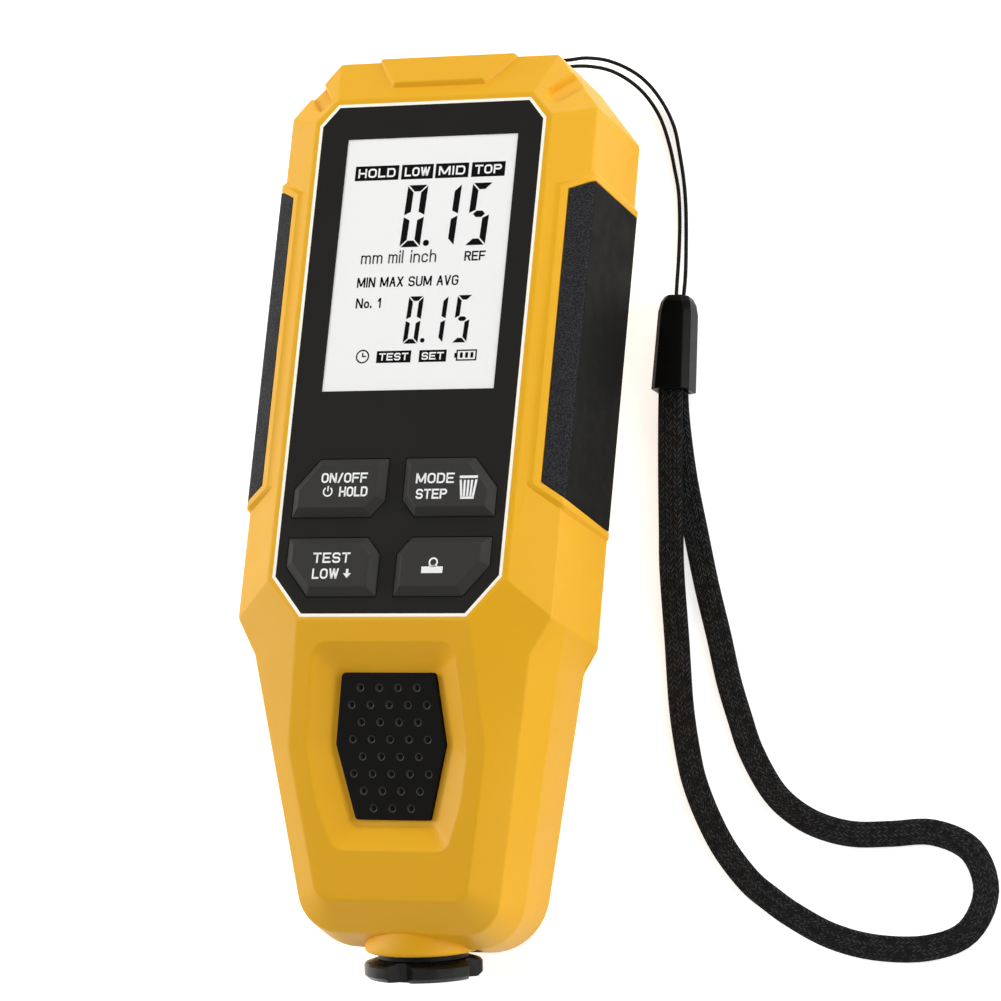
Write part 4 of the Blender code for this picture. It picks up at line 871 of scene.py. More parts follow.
def rear_cover():
    """The lower shell with tray, door seat, screw posts and half of the probe's bore."""
    seam, edge = HANDLE_PART_Z - SEAM, HANDLE_PART_Z - EDGE_DROP
    rings = [
        inward(0.0, PART_Z - SEAM, seam, seam),
        inward(EDGE_INSET, PART_Z - EDGE_DROP, edge, edge),
        inward(BACK_INSET, BACK_Z, HANDLE_PART_Z + BACK_Z - PART_Z, HANDLE_BACK_LOW_Z),
    ]
    caps = bent_caps(len(rings[0]))
    cover = loft("housing_back", rings, caps=caps, bevel=0.25, angle=13.0)
    seat = BACK_Z + DOOR_SINK + DOOR_THICK + SEAM
    floor = seat + TRAY_WALL
    side, bevel = CAVITY_SIDE - 1.0, CAVITY_CUT + 1.0
    room = mirrored([(side + 1.0 - bevel, CAVITY_TOP_Y), (side, CAVITY_TOP_Y - bevel), (side, CAVITY_LOW_Y)])
    cut(cover, prism("room", room, PART_Z + 1.0, floor))
    x_high, y_high, x_low, y_low, _ = HANDLE_CAVITY
    room = mirrored([(x_high, y_high - 6.0), (x_low, y_low)])
    levels = (HANDLE_PART_Z + 2.0, HANDLE_BACK_LOW_Z + 2.0)
    cut(cover, prism("handle_room", room, *levels, YELLOW, HANDLE))
    half, roof, thick = CELL_X + CELL_R + GAP, CELL_Z + CELL_R + GAP, TRAY_WALL
    tray = ((-half - thick, half + thick), (TRAY_LOW - thick, TRAY_TOP + thick), (floor - 0.4, roof + thick))
    join(cover, block("tray", *tray))
    cut(cover, block("cells", (-half, half), (TRAY_LOW, TRAY_TOP), (BACK_Z - 1.0, roof)))
    wide = DOOR_HALF + DOOR_KEEP + SEAM
    narrow = DOOR_HALF + SEAM - DOOR_KEEP * (DOOR_SINK + 1.0) / DOOR_THICK
    section = [(-wide, seat), (wide, seat), (narrow, BACK_Z - 1.0), (-narrow, BACK_Z - 1.0)]
    slide = [[(x, y, z) for x, z in section] for y in (DOOR_LOW - SEAM, RIDGE_TOP[1] + 4.0)]
    cut(cover, loft("door_seat", slide))
    cut_screw_seats(cover)
    cut(cover, probe_bore())
    finish_piece(cover, "case", ["rear_cover"])


def screw_spots():
    """(hand, x, y, back face z, seam z, frame) of the four case screws."""
    high = HANDLE_PART_Z + BACK_Z - PART_Z
    y_high = HANDLE_PART[1] + math.tan(BEND / 2) * (high - HANDLE_PART_Z)
    share = (y_high - SCREW_LOW[1]) / (y_high - HANDLE_PART[4] - BACK_INSET)
    for hand, side in ((-1, "left"), (1, "right")):
        yield f"top_{side}", hand * SCREW_TOP[0], SCREW_TOP[1], BACK_Z, PART_Z, GAUGE
        z = high + (HANDLE_BACK_LOW_Z - high) * share
        yield f"low_{side}", hand * SCREW_LOW[0], SCREW_LOW[1], z, HANDLE_PART_Z, HANDLE


def cut_screw_seats(cover):
    for _, x, y, back, seam, frame_place in screw_spots():
        place = frame_place @ Matrix.Translation((x, y, 0.0))
        join(cover, rod("post", BOSS_R, (back + 2.6, seam - GAP - 0.2), YELLOW, place, 24))
        head_end = back + SCREW_SINK + SCREW_HEAD + GAP
        cut(cover, rod("head_room", SCREW_HEAD_R + GAP, (back - 2.0, head_end), YELLOW, place, 32))
        cut(cover, rod("shank_room", SCREW_R + GAP, (back - 1.0, PART_Z + 4.0), YELLOW, place, 16))


def screws():
    """Pan head screws with a cross in the head and rings for the thread."""
    for label, x, y, back, _, frame_place in screw_spots():
        place = frame_place @ Matrix.Translation((x, y, 0.0))
        z = back + SCREW_SINK
        profile = [(SCREW_HEAD_R - 0.55, z), (SCREW_HEAD_R - 0.12, z + 0.3), (SCREW_HEAD_R, z + 0.75)]
        profile += [(SCREW_HEAD_R, z + SCREW_HEAD), (SCREW_R - 0.2, z + SCREW_HEAD)]
        for k in range(9):
            along = z + SCREW_HEAD + 0.5 + 0.7 * k
            profile += [(SCREW_R - 0.25, along), (SCREW_R, along + 0.35)]
        profile.append((SCREW_R - 0.6, z + SCREW_LENGTH + 0.6))
        screw = turned(f"case_screw_{label}", profile, STEEL, place, 32)
        for turn in (0.0, 90.0):
            spin = place @ Matrix.Rotation(math.radians(turn + 20.0), 4, "Z")
            cut(screw, block("cross", (-1.35, 1.35), (-0.24, 0.24), (z - 1.0, z + 0.75), STEEL, spin))
        finish_piece(screw, "case", [f"screw_{label}"])


def battery_door():
    """The sliding door with undercut edges and finger grooves."""
    low, high = BACK_Z + DOOR_SINK, BACK_Z + DOOR_SINK + DOOR_THICK
    wide = DOOR_HALF + DOOR_KEEP
    section = [(-wide, high), (wide, high), (DOOR_HALF, low), (-DOOR_HALF, low)]
    slope = DOOR_THICK * (BACK_INSET - EDGE_INSET) / (PART_Z - EDGE_DROP - BACK_Z)
    near = [(x, DOOR_LOW, z) for x, z in section]
    far = [(x, DOOR_TOP + (slope if z == high else 0.0), z) for x, z in section]
    door = loft("sliding_door", [near, far], bevel=0.15, steps=2)
    for k in range(4):
        y = DOOR_TOP - 6.0 - 2.4 * k
        groove = ((-6.0, 6.0), (y, y + 1.2), (low - 1.0, low + 0.5))
        cut(door, block("groove", *groove, bevel=0.3, steps=2))
    finish_piece(door, "door", ["battery_door"])


# Panel, display and keys


def face_panel():
    """The printed plate with its trim, and the display below its window."""
    outline = offset(mirrored(PANEL), TRIM)
    panel = prism("panel_plate", outline, -PANEL_SINK, -PANEL_SINK - PANEL_THICK, PANEL_BLACK)
    for hand, row in ((-1, 1), (1, 1), (-1, -1), (1, -1)):
        hole = offset(key_outline(hand, row), SEAM)
        cut(panel, prism("hole", hole, 2.0, -3.0, PANEL_BLACK))
    x0, x1, y0, y1 = DISPLAY
    depth = (-PANEL_SINK - DISPLAY_DEEP, 1.0)
    cut(panel, block("window", (x0, x1), (y0, y1), depth, PANEL_BLACK))
    finish_piece(panel, "case", ["face_panel"])
    trim = prism("panel_trim", outline, 0.0, -0.3, TRIM_WHITE_PAINTED_GLOW)
    cut(trim, prism("inside", mirrored(PANEL), 1.0, -1.0, TRIM_WHITE_PAINTED_GLOW))
    finish_piece(trim, "case", ())
    depth = (depth[0] - 0.2, depth[0] + 0.01)
    field = block("display_field", (x0 - 0.2, x1 + 0.2), (y0 - 0.2, y1 + 0.2), depth, DISPLAY_WHITE_PAINTED_GLOW)
    finish_piece(field, "case", ())


def key_outline(hand, row):
    near = KEY_MID_Y + row * KEY_ROW_GAP / 2
    far = near + row * KEY_HIGH
    points = [
        (KEY_IN, far),
        (KEY_OUT - KEY_BIG[0], far),
        (KEY_OUT, far - row * KEY_BIG[1]),
        (KEY_OUT, near),
        (KEY_IN + KEY_SMALL[0], near),
        (KEY_IN, near + row * KEY_SMALL[1]),
    ]
    points = [(hand * x, y) for x, y in points]
    return points if hand * row > 0 else points[::-1]


def keys():
    names = {(-1, 1): "power", (1, 1): "delete", (-1, -1): "mode", (1, -1): "zero"}
    for (hand, row), name in names.items():
        shape = key_outline(hand, row)
        levels = ((KEY_RISE, offset(shape, -KEY_BEVEL)), (0.0, shape), (-1.3, shape))
        rings = [[(x, y, z) for x, y in ring] for z, ring in levels]
        key = loft(f"{name}_key_top", rings, KEY, bevel=0.12, steps=2, angle=20.0)
        finish_piece(key, f"{name}_key", [f"key_{name}"])


# Grips and pad


def grips():
    """Rubber wraps. Their front facets are grained and their sides are smooth."""
    up = (GAUGE.to_3x3() @ Vector((0.0, 0.0, 1.0))).normalized()
    for hand, name in ((-1, "grip_left"), (1, "grip_right")):
        sizes = (-GAP / 2, GRIP_RISE, GRIP_THICK, PART_Z + GAP / 2)
        grip = grip_form(f"{name}_wrap", hand, *sizes, GRIP, bevel=0.12, angle=20.0)
        grip.data.materials.append(SMOOTH_RUBBER)
        for polygon in grip.data.polygons:
            polygon.material_index = 0 if polygon.normal.dot(up) > 0.45 else 1
        finish_piece(grip, "case", [name])


def thumb_pad():
    """The pad with its staggered dimples, whose walls are lighter and glossier than the pad: a painted
    highlight on the walls.
    """
    outline = rounded(mirrored(PAD), PAD_CORNER_R)
    low = PAD_Z - PAD_THICK
    pad = prism("pad_with_dimples", outline, PAD_Z, low, PAD_RUBBER, HANDLE, bevel=0.15, steps=3, angle=45.0)
    pad.data.materials.append(PIT_WALL_PAINTED_HIGHLIGHT)
    wall = [(radius, PAD_Z + z) for radius, z in DIMPLE_WALL]
    for row, count in enumerate(DIMPLE_ROWS):
        for k in range(count):
            x, y = (k - (count - 1) / 2) * DIMPLE_PITCH, DIMPLE_START_Y - DIMPLE_ROW_PITCH * row
            pit = turned("dimple", wall, PIT_WALL_PAINTED_HIGHLIGHT, HANDLE @ Matrix.Translation((x, y, 0.0)), 20)
            pit.data.materials.append(PAD_RUBBER)
            for polygon in pit.data.polygons:
                flat = abs(polygon.normal.dot(HANDLE_UP)) > 0.95
                polygon.material_index = 1 if flat else 0
            cut(pad, pit)
    finish_piece(pad, "case", ["thumb_pad"])


# Probe and clasp


def probe():
    """Neck, ring, notched foot and tip. The neck swells below the housing's lower edge."""
    place = probe_place()
    swell = [(NECK_R, NECK_TOP), (NECK_R, NECK_FLARE)]
    for share in (0.25, 0.5, 0.75, 1.0):
        rise = math.sin(share * math.pi / 2)
        swell.append((NECK_R + (NECK_WIDE_R - NECK_R) * rise, NECK_FLARE + (NECK_WIDEST - NECK_FLARE) * share))
    for share in (0.35, 0.65, 0.85, 0.96, 1.0):
        radius = NECK_WIDE_R + (NECK_END_R - NECK_WIDE_R) * (1.0 - math.sqrt(1.0 - share**2))
        swell.append((radius, NECK_WIDEST + (NECK_END - NECK_WIDEST) * share))
    neck = turned("neck_sleeve", swell, NECK_YELLOW, place, 96)
    bore = (NECK_TOP - 3.0, FOOT_TOP + FOOT_HIGH + 3.0)
    cut(neck, rod("neck_bore", PROBE_BORE, bore, NECK_YELLOW, place))
    finish_piece(neck, "case", ["probe_neck"], sharp=50.0)
    ring = rod("neck_ring", RING_R, (NECK_END, FOOT_TOP), RING, place, 96)
    cut(ring, rod("ring_bore", PROBE_BORE, bore, RING, place))
    finish_piece(ring, "case", ["probe_ring"])
    start = FOOT_TOP + GAP / 2
    end = start + FOOT_HIGH
    rim = [(FOOT_R - 0.25, start + 0.45), (FOOT_R, start + 0.75), (FOOT_R, end - 0.6), (FOOT_R - 0.6, end)]
    foot = turned("notched_foot", [(RING_R + 0.4, start)] + rim, BLACK, place, 96)
    cut(foot, rod("foot_bore", TIP_R + GAP, (start - 3.0, end + 3.0), BLACK, place))
    for quarter in range(4):
        spin = place @ Matrix.Rotation(math.radians(90 * quarter + FOOT_TURN), 4, "Z")
        rings = [[(FOOT_R + x, y, z) for x, y in FOOT_NOTCH] for z in (start - 1.0, end + 2.0)]
        cut(foot, loft("foot_notch", rings, BLACK, spin))
    finish_piece(foot, "case", ["probe_foot"], sharp=25.0)
    round_z, step = end + TIP_PROUD - TIP_ROUND, start - TIP_LONG
    profile = [(STEM_R, NECK_TOP - STEM_PAST), (STEM_R, step), (TIP_R, step), (TIP_R, round_z)]
    for k in range(1, 6):
        turn = math.pi / 2 * k / 5
        profile.append((TIP_R - TIP_ROUND * (1.0 - math.cos(turn)), round_z + TIP_ROUND * math.sin(turn)))
    finish_piece(turned("sprung_tip", profile, STEEL, place, 48), "tip", ["probe_tip"])
    sprung_wire(place, step)


def sprung_wire(place, stop):
    """The spring behind the tip."""
    low, high = SPRING_START + SPRING_WIRE / 2, stop - GAP - SPRING_WIRE / 2
    line, steps = [], 16 * SPRING_TURNS
    for share in (k / steps for k in range(steps + 1)):
        turn = 2 * math.pi * SPRING_TURNS * share
        spot = (SPRING_R * math.cos(turn), SPRING_R * math.sin(turn), low + (high - low) * share)
        line.append(place @ Vector(spot))
    curve = wire("coiled_wire", line, SPRING_WIRE / 2, STEEL)
    made = placed("sprung_wire", bpy.data.meshes.new_from_object(curve))
    bpy.data.objects.remove(curve)
    finish_piece(made, "case", ["probe_spring"], weighted=False)
    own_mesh(made)


CLASP_Y = (22.4, 37.2)
CLASP_X = 31.85
CLASP_HIGH = 4.9
CLASP_CHAMFER = 0.95
CLASP_SHAPE = ((0.0, 3.05, 0.0), (12.2, 2.68, 0.0), (13.8, 2.4, 0.2), (14.8, 1.9, 0.6))


def clasp():
    """The tapered clasp between cord and webbing, with a slot at each end."""
    rings = []
    for along, half, inset in CLASP_SHAPE:
        bottom, top, slope = inset, CLASP_HIGH - inset, CLASP_CHAMFER
        side = [(half - slope, bottom), (half, bottom + 0.4), (half, top - slope), (half - slope, top)]
        section = mirrored(side)
        rings.append([(CLASP_X + x, CLASP_Y[0] + along, z) for x, z in section])
    made = loft("clasp_body", rings, CLASP, TABLE, bevel=0.16, steps=3, angle=14.0)
    for half, z, y in (
        (2.25, (0.5, 3.65), (CLASP_Y[0] - 2.0, CLASP_Y[0] + 3.6)),
        (0.95, (1.85, 2.65), (CLASP_Y[1] - 3.0, CLASP_Y[1] + 2.0)),
    ):
        cut(made, block("slot", (CLASP_X - half, CLASP_X + half), y, z, CLASP, TABLE))
    finish_piece(made, "case", ["strap_clasp"], sharp=50.0)


# Print: flat marks


class Marks:
    """Flat marks on one surface, gathered in one mesh and drawn in millimetres at height z."""

    def __init__(self, z):
        self.work = bmesh.new()
        self.z = z

    def area(self, outline):
        self.work.faces.new([self.work.verts.new((x, y, self.z)) for x, y in outline])

    def box(self, x0, x1, y0, y1):
        self.area([(x0, y0), (x1, y0), (x1, y1), (x0, y1)])

    def disc(self, x, y, radius):
        turns = [2 * math.pi * k / 24 for k in range(24)]
        self.area([(x + radius * math.cos(a), y + radius * math.sin(a)) for a in turns])

    def arc(self, x, y, radius, width, start=0.0, sweep=360.0):
        steps = 28
        turns = [math.radians(start + sweep * k / steps) for k in range(steps + 1)]
        reach = (radius - width / 2, radius + width / 2)
        inner, outer = ([(x + r * math.cos(a), y + r * math.sin(a)) for a in turns] for r in reach)
        for k in range(steps):
            self.area([inner[k], outer[k], outer[k + 1], inner[k + 1]])

    def stroke(self, start, end, width):
        self.line([Vector(start), Vector(end)], width)

    def digit(self, shape, x, y, width, height, thick):
        """A seven segment digit, that leans to the right. shape names its segments, a to g."""
        w, h, t, g = width, height, thick, 0.09 * thick + 0.07
        m = h / 2
        side = [(0.0, h - g), (t, h - t - g), (t, m + t / 2 + g), (0.0, m + g)]
        level = [(g, h), (w - g, h), (w - t - g, h - t), (t + g, h - t)]
        middle = [(t / 2 + g, m), (t + g, m + t / 2), (w - t - g, m + t / 2)]
        segments = {
            "a": level,
            "b": [(w - px, py) for px, py in side],
            "c": [(w - px, h - py) for px, py in side],
            "d": [(px, h - py) for px, py in level],
            "e": [(px, h - py) for px, py in side],
            "f": side,
            "g": middle + [(w - px, h - py) for px, py in middle],
        }
        for key in shape:
            self.area([(x + px + LEAN * py, y + py) for px, py in segments[key]])

    def line(self, spots, weight):
        """A line with mitred bends."""
        half = weight / 2
        steps = [(b - a).normalized() for a, b in zip(spots, spots[1:])]
        edges = []
        for spot, into, out in zip(spots, steps[:1] + steps, steps + steps[-1:]):
            middle = (into + out).normalized().orthogonal()
            middle *= half / middle.dot(into.orthogonal())
            edges.append((spot + middle, spot - middle))
        for (a, b), (c, d) in zip(edges, edges[1:]):
            self.area([a, c, d, b])

    def slant(self, start, end, weight):
        """A slanting stroke with level ends."""
        low, high = sorted((start, end), key=lambda spot: spot.y)
        half = Vector((weight / 2 * (high - low).length / (high.y - low.y), 0.0))
        reach = Vector((0.0, weight / 2))
        self.area([low - reach - half, low - reach + half, high + reach + half, high + reach - half])

    def words(self, text, x0, x1, y0, y1, weight):
        """Words that fill the box, from the strokes in LETTERS."""
        widths = [max(int(spot[0]) for spot in LETTERS[sign].replace("/", " ").split()) for sign in text]
        grid = (x1 - x0 - weight) / (sum(widths) + LETTER_GAP * (len(text) - 1))
        tall = 8 if text.isupper() or not text.isalpha() else 9
        rise = (y1 - y0 - weight) / (6 if text == "mm" else tall)
        left = x0 + weight / 2
        for sign, width in zip(text, widths):
            for stroke in LETTERS[sign].split("/") if sign != " " else ():
                marks = stroke.split()
                spots = [Vector((left + int(m[0]) * grid, y0 + weight / 2 + int(m[1]) * rise)) for m in marks]
                if len(spots) == 2 and marks[0][0] != marks[1][0] and marks[0][1] != marks[1][1]:
                    self.slant(*spots, weight)
                    continue
                if "r" not in stroke:
                    spots[0] += (spots[0] - spots[1]).normalized() * weight / 2
                    spots[-1] += (spots[-1] - spots[-2]).normalized() * weight / 2
                path = [spots[0]]
                for k in range(1, len(spots) - 1):
                    if marks[k].endswith("r"):
                        radius = min(2.6 * grid, (y1 - y0) * 0.26)
                        for j in (k - 1, k + 1):
                            share = 0.96 if j in (0, len(spots) - 1) else 0.48
                            radius = min(radius, (spots[k] - spots[j]).length * share)
                        path += [Vector(p) for p in corner(spots[k - 1], spots[k], spots[k + 1], radius, 5)]
                    else:
                        path.append(spots[k])
                self.line(path + [spots[-1]], weight)
            left += (width + LETTER_GAP) * grid

    def lay(self, name, finish, body, slot, place=GAUGE):
        """Puts the marks on the table as one piece that rides on a body."""
        for face in self.work.faces:
            face.normal_update()
            if face.normal.z < 0:
                face.normal_flip()
        made = piece_from(name, self.work, finish, place)
        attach(made, body)


LEAN = 0.045
LETTER_GAP = 2.9
# Strokes of the letters on a grid of 6 by 8. An r marks a rounded corner. Such a stroke ends at its marks.
LETTERS = {
    "A": "00 38/38 60/13 53",
    "D": "00 08/08 68r 60r 00",
    "E": "68 08 00 60/04 54",
    "F": "68 08 00/04 54",
    "G": "66 68r 08r 00r 60r 64 34",
    "H": "00 08/60 68/04 64",
    "I": "00 08",
    "L": "08 00 50",
    "M": "00 08/08 41/41 88/80 88",
    "N": "00 08/08 60/60 68",
    "O": "30 00r 08r 68r 60r 30",
    "P": "00 08/08 68r 64r 04",
    "R": "00 08/08 68r 64r 04/34 60",
    "S": "66 68r 08r 04r 64r 60r 00r 02",
    "T": "08 68/30 38",
    "U": "08 04/04 00r 60r 64/64 68",
    "V": "08 30/30 68",
    "W": "08 20/20 48/48 60/60 88",
    "X": "00 68/08 60",
    "c": "54 56r 06r 00r 50r 52",
    "h": "00 09/04 06r 56r 54/54 50",
    "i": "00 06/08 09",
    "l": "00 09",
    "m": "00 06/04 06r 46r 44/44 40/44 46r 86r 84/84 80",
    "n": "00 06/04 06r 56r 54/54 50",
    "o": "20 00r 05r 45r 40r 20",
    "1": "06 28/20 28",
    ".": "00 01",
    "/": "00 48",
    " ": "00 20",
}
NUMBERS = {"0": "abcdef", "1": "bc", "5": "acdfg"}


def reading(marks, starts, y, width, height, thick, point, point_radius):
    """The number on the display with its decimal point."""
    for number, x in zip("015", starts):
        marks.digit(NUMBERS[number], x, y, width, height, thick)
    marks.disc(*point, point_radius)


def display_marks():
    """The reading, its units and flags, in generic words."""
    dark, light = Marks(0.03), Marks(0.06)
    flags = (
        ("HOLD", -11.85, -4.66, 30.6, 32.95),
        ("LOW", -4.2, 1.0, 30.6, 32.95),
        ("MID", 1.38, 6.78, 30.6, 32.95),
        ("TOP", 7.28, 12.72, 30.6, 32.95),
        ("TEST", -5.2, 0.4, 1.42, 3.3),
        ("SET", 1.72, 6.15, 1.42, 3.3),
    )
    for text, x0, x1, y0, y1 in flags:
        dark.box(x0, x1, y0, y1)
        rim = (y1 - y0) * 0.19
        light.words(text, x0 + 1.2 * rim, x1 - 1.2 * rim, y0 + rim, y1 - rim, 0.12 * (y1 - y0))
    reading(dark, (-3.3, 2.2, 7.3), 19.72, 3.3, 9.9, 1.02, (0.98, 20.3), 0.5)
    reading(dark, (-1.17, 2.85, 6.75), 4.38, 2.4, 7.45, 0.72, (2.0, 4.85), 0.37)
    dark.words("mm", -9.4, -5.9, 17.2, 18.6, 0.22)
    dark.words("mil", -4.9, -2.5, 17.2, 19.25, 0.22)
    dark.words("inch", -1.3, 2.9, 17.2, 19.25, 0.22)
    dark.words("REF", 7.5, 10.9, 17.25, 18.8, 0.26)
    dark.words("MIN MAX SUM AVG", -9.65, 6.9, 13.45, 15.05, 0.25)
    dark.words("No. 1", -9.5, -5.4, 10.15, 11.75, 0.25)
    dark.arc(-7.5, 2.5, 0.98, 0.22)
    dark.stroke((-7.5, 2.5), (-7.5, 3.1), 0.22)
    dark.stroke((-7.6, 2.5), (-6.95, 2.5), 0.22)
    dark.box(7.75, 11.05, 3.02, 3.24)
    dark.box(7.75, 11.05, 1.5, 1.72)
    dark.box(7.75, 7.97, 1.5, 3.24)
    dark.box(10.83, 11.05, 1.5, 3.24)
    dark.box(7.45, 7.75, 2.0, 2.75)
    for k in range(3):
        dark.box(8.35 + 0.85 * k, 8.8 + 0.85 * k, 1.95, 2.8)
    place = GAUGE @ Matrix.Translation((-0.09, 0.07, -PANEL_SINK - DISPLAY_DEEP))
    dark.lay("display_marks", SEGMENT, "case", "display", place)
    light.lay("display_words", DISPLAY_WHITE_PAINTED_GLOW, "case", "display", place)


BOLD = 0.28


def key_marks():
    """Words and signs on the four keys."""
    height = KEY_RISE + 0.015
    power, delete, mode, zero = (Marks(height) for _ in range(4))
    power.words("ON/OFF", -11.6, -4.1, -17.6, -16.05, BOLD)
    power.arc(-10.36, -18.95, 0.68, 0.22, 125.0, 290.0)
    power.stroke((-10.36, -18.9), (-10.36, -18.05), 0.22)
    power.words("HOLD", -8.5, -3.9, -19.75, -18.2, BOLD)
    delete.words("MODE", 3.75, 9.9, -17.85, -16.25, BOLD)
    delete.words("STEP", 3.95, 8.95, -20.25, -18.7, BOLD)
    delete.box(10.75, 13.65, -17.12, -16.72)
    delete.stroke((10.95, -17.35), (11.3, -20.1), 0.36)
    delete.stroke((13.45, -17.35), (13.1, -20.1), 0.36)
    delete.box(11.1, 13.3, -20.32, -19.95)
    for k in range(3):
        delete.stroke((11.62 + 0.58 * k, -17.4), (11.7 + 0.5 * k, -19.9), 0.34)
    mode.words("TEST", -11.6, -5.6, -30.0, -28.4, BOLD)
    mode.words("LOW", -11.5, -7.2, -32.45, -30.85, BOLD)
    mode.box(-6.05, -5.65, -31.7, -30.95)
    mode.area([(-6.5, -31.6), (-5.85, -32.35), (-5.2, -31.6)])
    zero.box(6.05, 9.45, -31.65, -30.65)
    zero.arc(7.85, -30.0, 0.62, 0.26)
    zero.box(7.2, 8.5, -30.7, -30.45)
    for name, marks in (("power", power), ("delete", delete), ("mode", mode), ("zero", zero)):
        marks.lay(f"{name}_key_marks", PRINT_WHITE, f"{name}_key", "key_grey")


# Strap

CORD_OUTER = (
    (6.7, 70.5, 10.4), (8.6, 72.9, 9.8), (11.3, 73.7, 9.2), (13.8, 74.05, 8.5), (16.1, 74.7, 7.0),
    (18.9, 74.75, 4.8), (22.0, 73.6, 2.8), (24.4, 71.75, 1.4), (26.7, 68.8, 0.6), (28.7, 65.0, 0.35),
    (29.9, 60.6, 0.35), (30.9, 55.9, 0.35), (31.5, 51.2, 0.35), (32.0, 45.0, 0.7), (32.5, 40.5, 1.7),
    (32.6, 37.4, 2.25), (32.6, 35.0, 2.25),
)
CORD_INNER = (
    (9.6, 70.4, 10.4), (11.8, 72.1, 9.9), (14.6, 72.8, 9.1), (17.1, 73.2, 7.2), (19.6, 73.0, 5.0),
    (22.3, 71.6, 3.0), (24.6, 69.35, 1.5), (26.6, 66.1, 0.6), (28.15, 62.0, 0.35), (29.15, 58.4, 0.35),
    (30.1, 54.4, 0.35), (30.6, 49.2, 0.35), (30.9, 44.0, 0.8), (31.2, 40.3, 1.7), (31.4, 37.4, 2.25),
    (31.4, 35.0, 2.25),
)
WEB_ROUTE = (
    (31.6, 25.6, 2.85), (31.65, 22.0, 2.8), (31.75, 17.0, 2.45), (32.1, 9.0, 2.05), (32.7, 1.0, 2.05),
    (33.1, -5.3, 1.8), (34.2, -16.0, 0.75), (35.5, -26.3, 0.6), (37.2, -34.1, 0.6), (38.6, -38.4, 0.6),
    (41.0, -43.4, 0.6), (43.9, -48.0, 0.6), (47.8, -52.4, 0.6), (51.1, -54.9, 0.6), (55.0, -57.4, 0.6),
    (61.0, -60.3, 0.6), (68.0, -61.9, 0.6), (76.0, -61.8, 0.6), (82.0, -59.3, 0.6), (84.5, -53.3, 0.6),
    (82.0, -47.3, 0.6), (76.0, -44.7, 0.6), (69.5, -45.0, 0.6), (63.5, -45.1, 0.6), (58.0, -43.8, 0.6),
    (53.6, -41.4, 0.6), (50.3, -38.2, 0.6), (46.9, -32.7, 0.6), (44.9, -27.8, 0.6), (42.8, -22.1, 0.6),
    (40.9, -15.5, 0.6), (38.4, -7.4, 0.6), (36.2, 0.7, 0.6), (34.0, 9.0, 0.62), (32.5, 17.0, 0.9),
    (32.0, 22.0, 1.35), (31.9, 25.6, 1.35),
)
BAR_PLACE = (8.0, 67.72, 10.75)
CORD_D = 0.6
WEB_WIDTH = 3.9
WEB_THICK = 1.2


def smooth(points, parts):
    """A smooth line through the points, with parts steps from each to the next."""
    spots = [Vector(p) for p in points]
    spots = [2 * spots[0] - spots[1]] + spots + [2 * spots[-1] - spots[-2]]
    line = []
    for a, b, c, d in zip(spots, spots[1:], spots[2:], spots[3:]):
        for k in range(parts):
            t = k / parts
            line.append(
                b
                + (c - a) * 0.5 * t
                + (a - 2.5 * b + 2 * c - 0.5 * d) * t**2
                + (1.5 * (b - c) + 0.5 * (d - a)) * t**3
            )
    return line + [spots[-2]]


def strap_cord():
    around = 1.0 + CORD_D / 2 + 0.15
    x, y, z = BAR_PLACE
    turns = [math.pi * k / 6 for k in range(7)]
    bend = [(x + around * math.cos(a), y - around * math.sin(a), z) for a in turns]
    line = smooth(list(CORD_INNER[::-1]) + bend + list(CORD_OUTER), 4)
    cord = wire("wrist_cord", line, CORD_D / 2, CORD)
    finish_piece(cord, "case", ["strap_cord"])


def strap_webbing():
    """Flat braid with rounded edges. Its map runs in millimetres along and across."""
    line = smooth(WEB_ROUTE, 5)
    section = []
    for k in range(16):
        turn = 2 * math.pi * k / 16
        x = math.copysign(abs(math.cos(turn)) ** 0.35, math.cos(turn)) * WEB_WIDTH / 2
        z = math.copysign(abs(math.sin(turn)) ** 0.6, math.sin(turn)) * WEB_THICK / 2
        section.append((x, z))
    points, faces, along = [], [], [0.0]
    for i, spot in enumerate(line):
        ahead = line[min(i + 1, len(line) - 1)] - line[max(i - 1, 0)]
        side = Vector((ahead.y, -ahead.x, 0.0)).normalized()
        points += [tuple((spot + side * x + Vector((0.0, 0.0, z))) * MM) for x, z in section]
        if i:
            along.append(along[-1] + (spot - line[i - 1]).length)
    count = len(section)
    for i in range(len(line) - 1):
        for k in range(count):
            j = (k + 1) % count
            faces.append((i * count + k, i * count + j, (i + 1) * count + j, (i + 1) * count + k))
    faces.append(tuple(range(count))[::-1])
    faces.append(tuple((len(line) - 1) * count + k for k in range(count)))
    mesh = bpy.data.meshes.new("wrist_webbing")
    mesh.from_pydata(points, [], faces)
    layer = mesh.uv_layers.new(name="strap_map")
    for polygon in mesh.polygons:
        for loop in polygon.loop_indices:
            vertex = mesh.loops[loop].vertex_index
            ring, k = divmod(vertex, count)
            layer.data[loop].uv = (along[ring], section[k][0])
    mesh.materials.append(BRAID)
    web = placed("wrist_webbing", mesh)
    finish_piece(web, "case", ["strap_webbing"], sharp=80.0, weighted=False)


# Stage, light and camera


FLOOR_GLOW = 0.72


def backdrop_rays(tree):
    """1 for the rays that see the white background: camera, glossy and transmission rays."""
    path = tree.nodes.new("ShaderNodeLightPath")
    total = path.outputs["Is Camera Ray"]
    for kind in ("Is Glossy Ray", "Is Transmission Ray"):
        node = tree.nodes.new("ShaderNodeMath")
        node.operation = "MAXIMUM"
        tree.links.new(total, node.inputs[0])
        tree.links.new(path.outputs[kind], node.inputs[1])
        total = node.outputs[0]
    return total


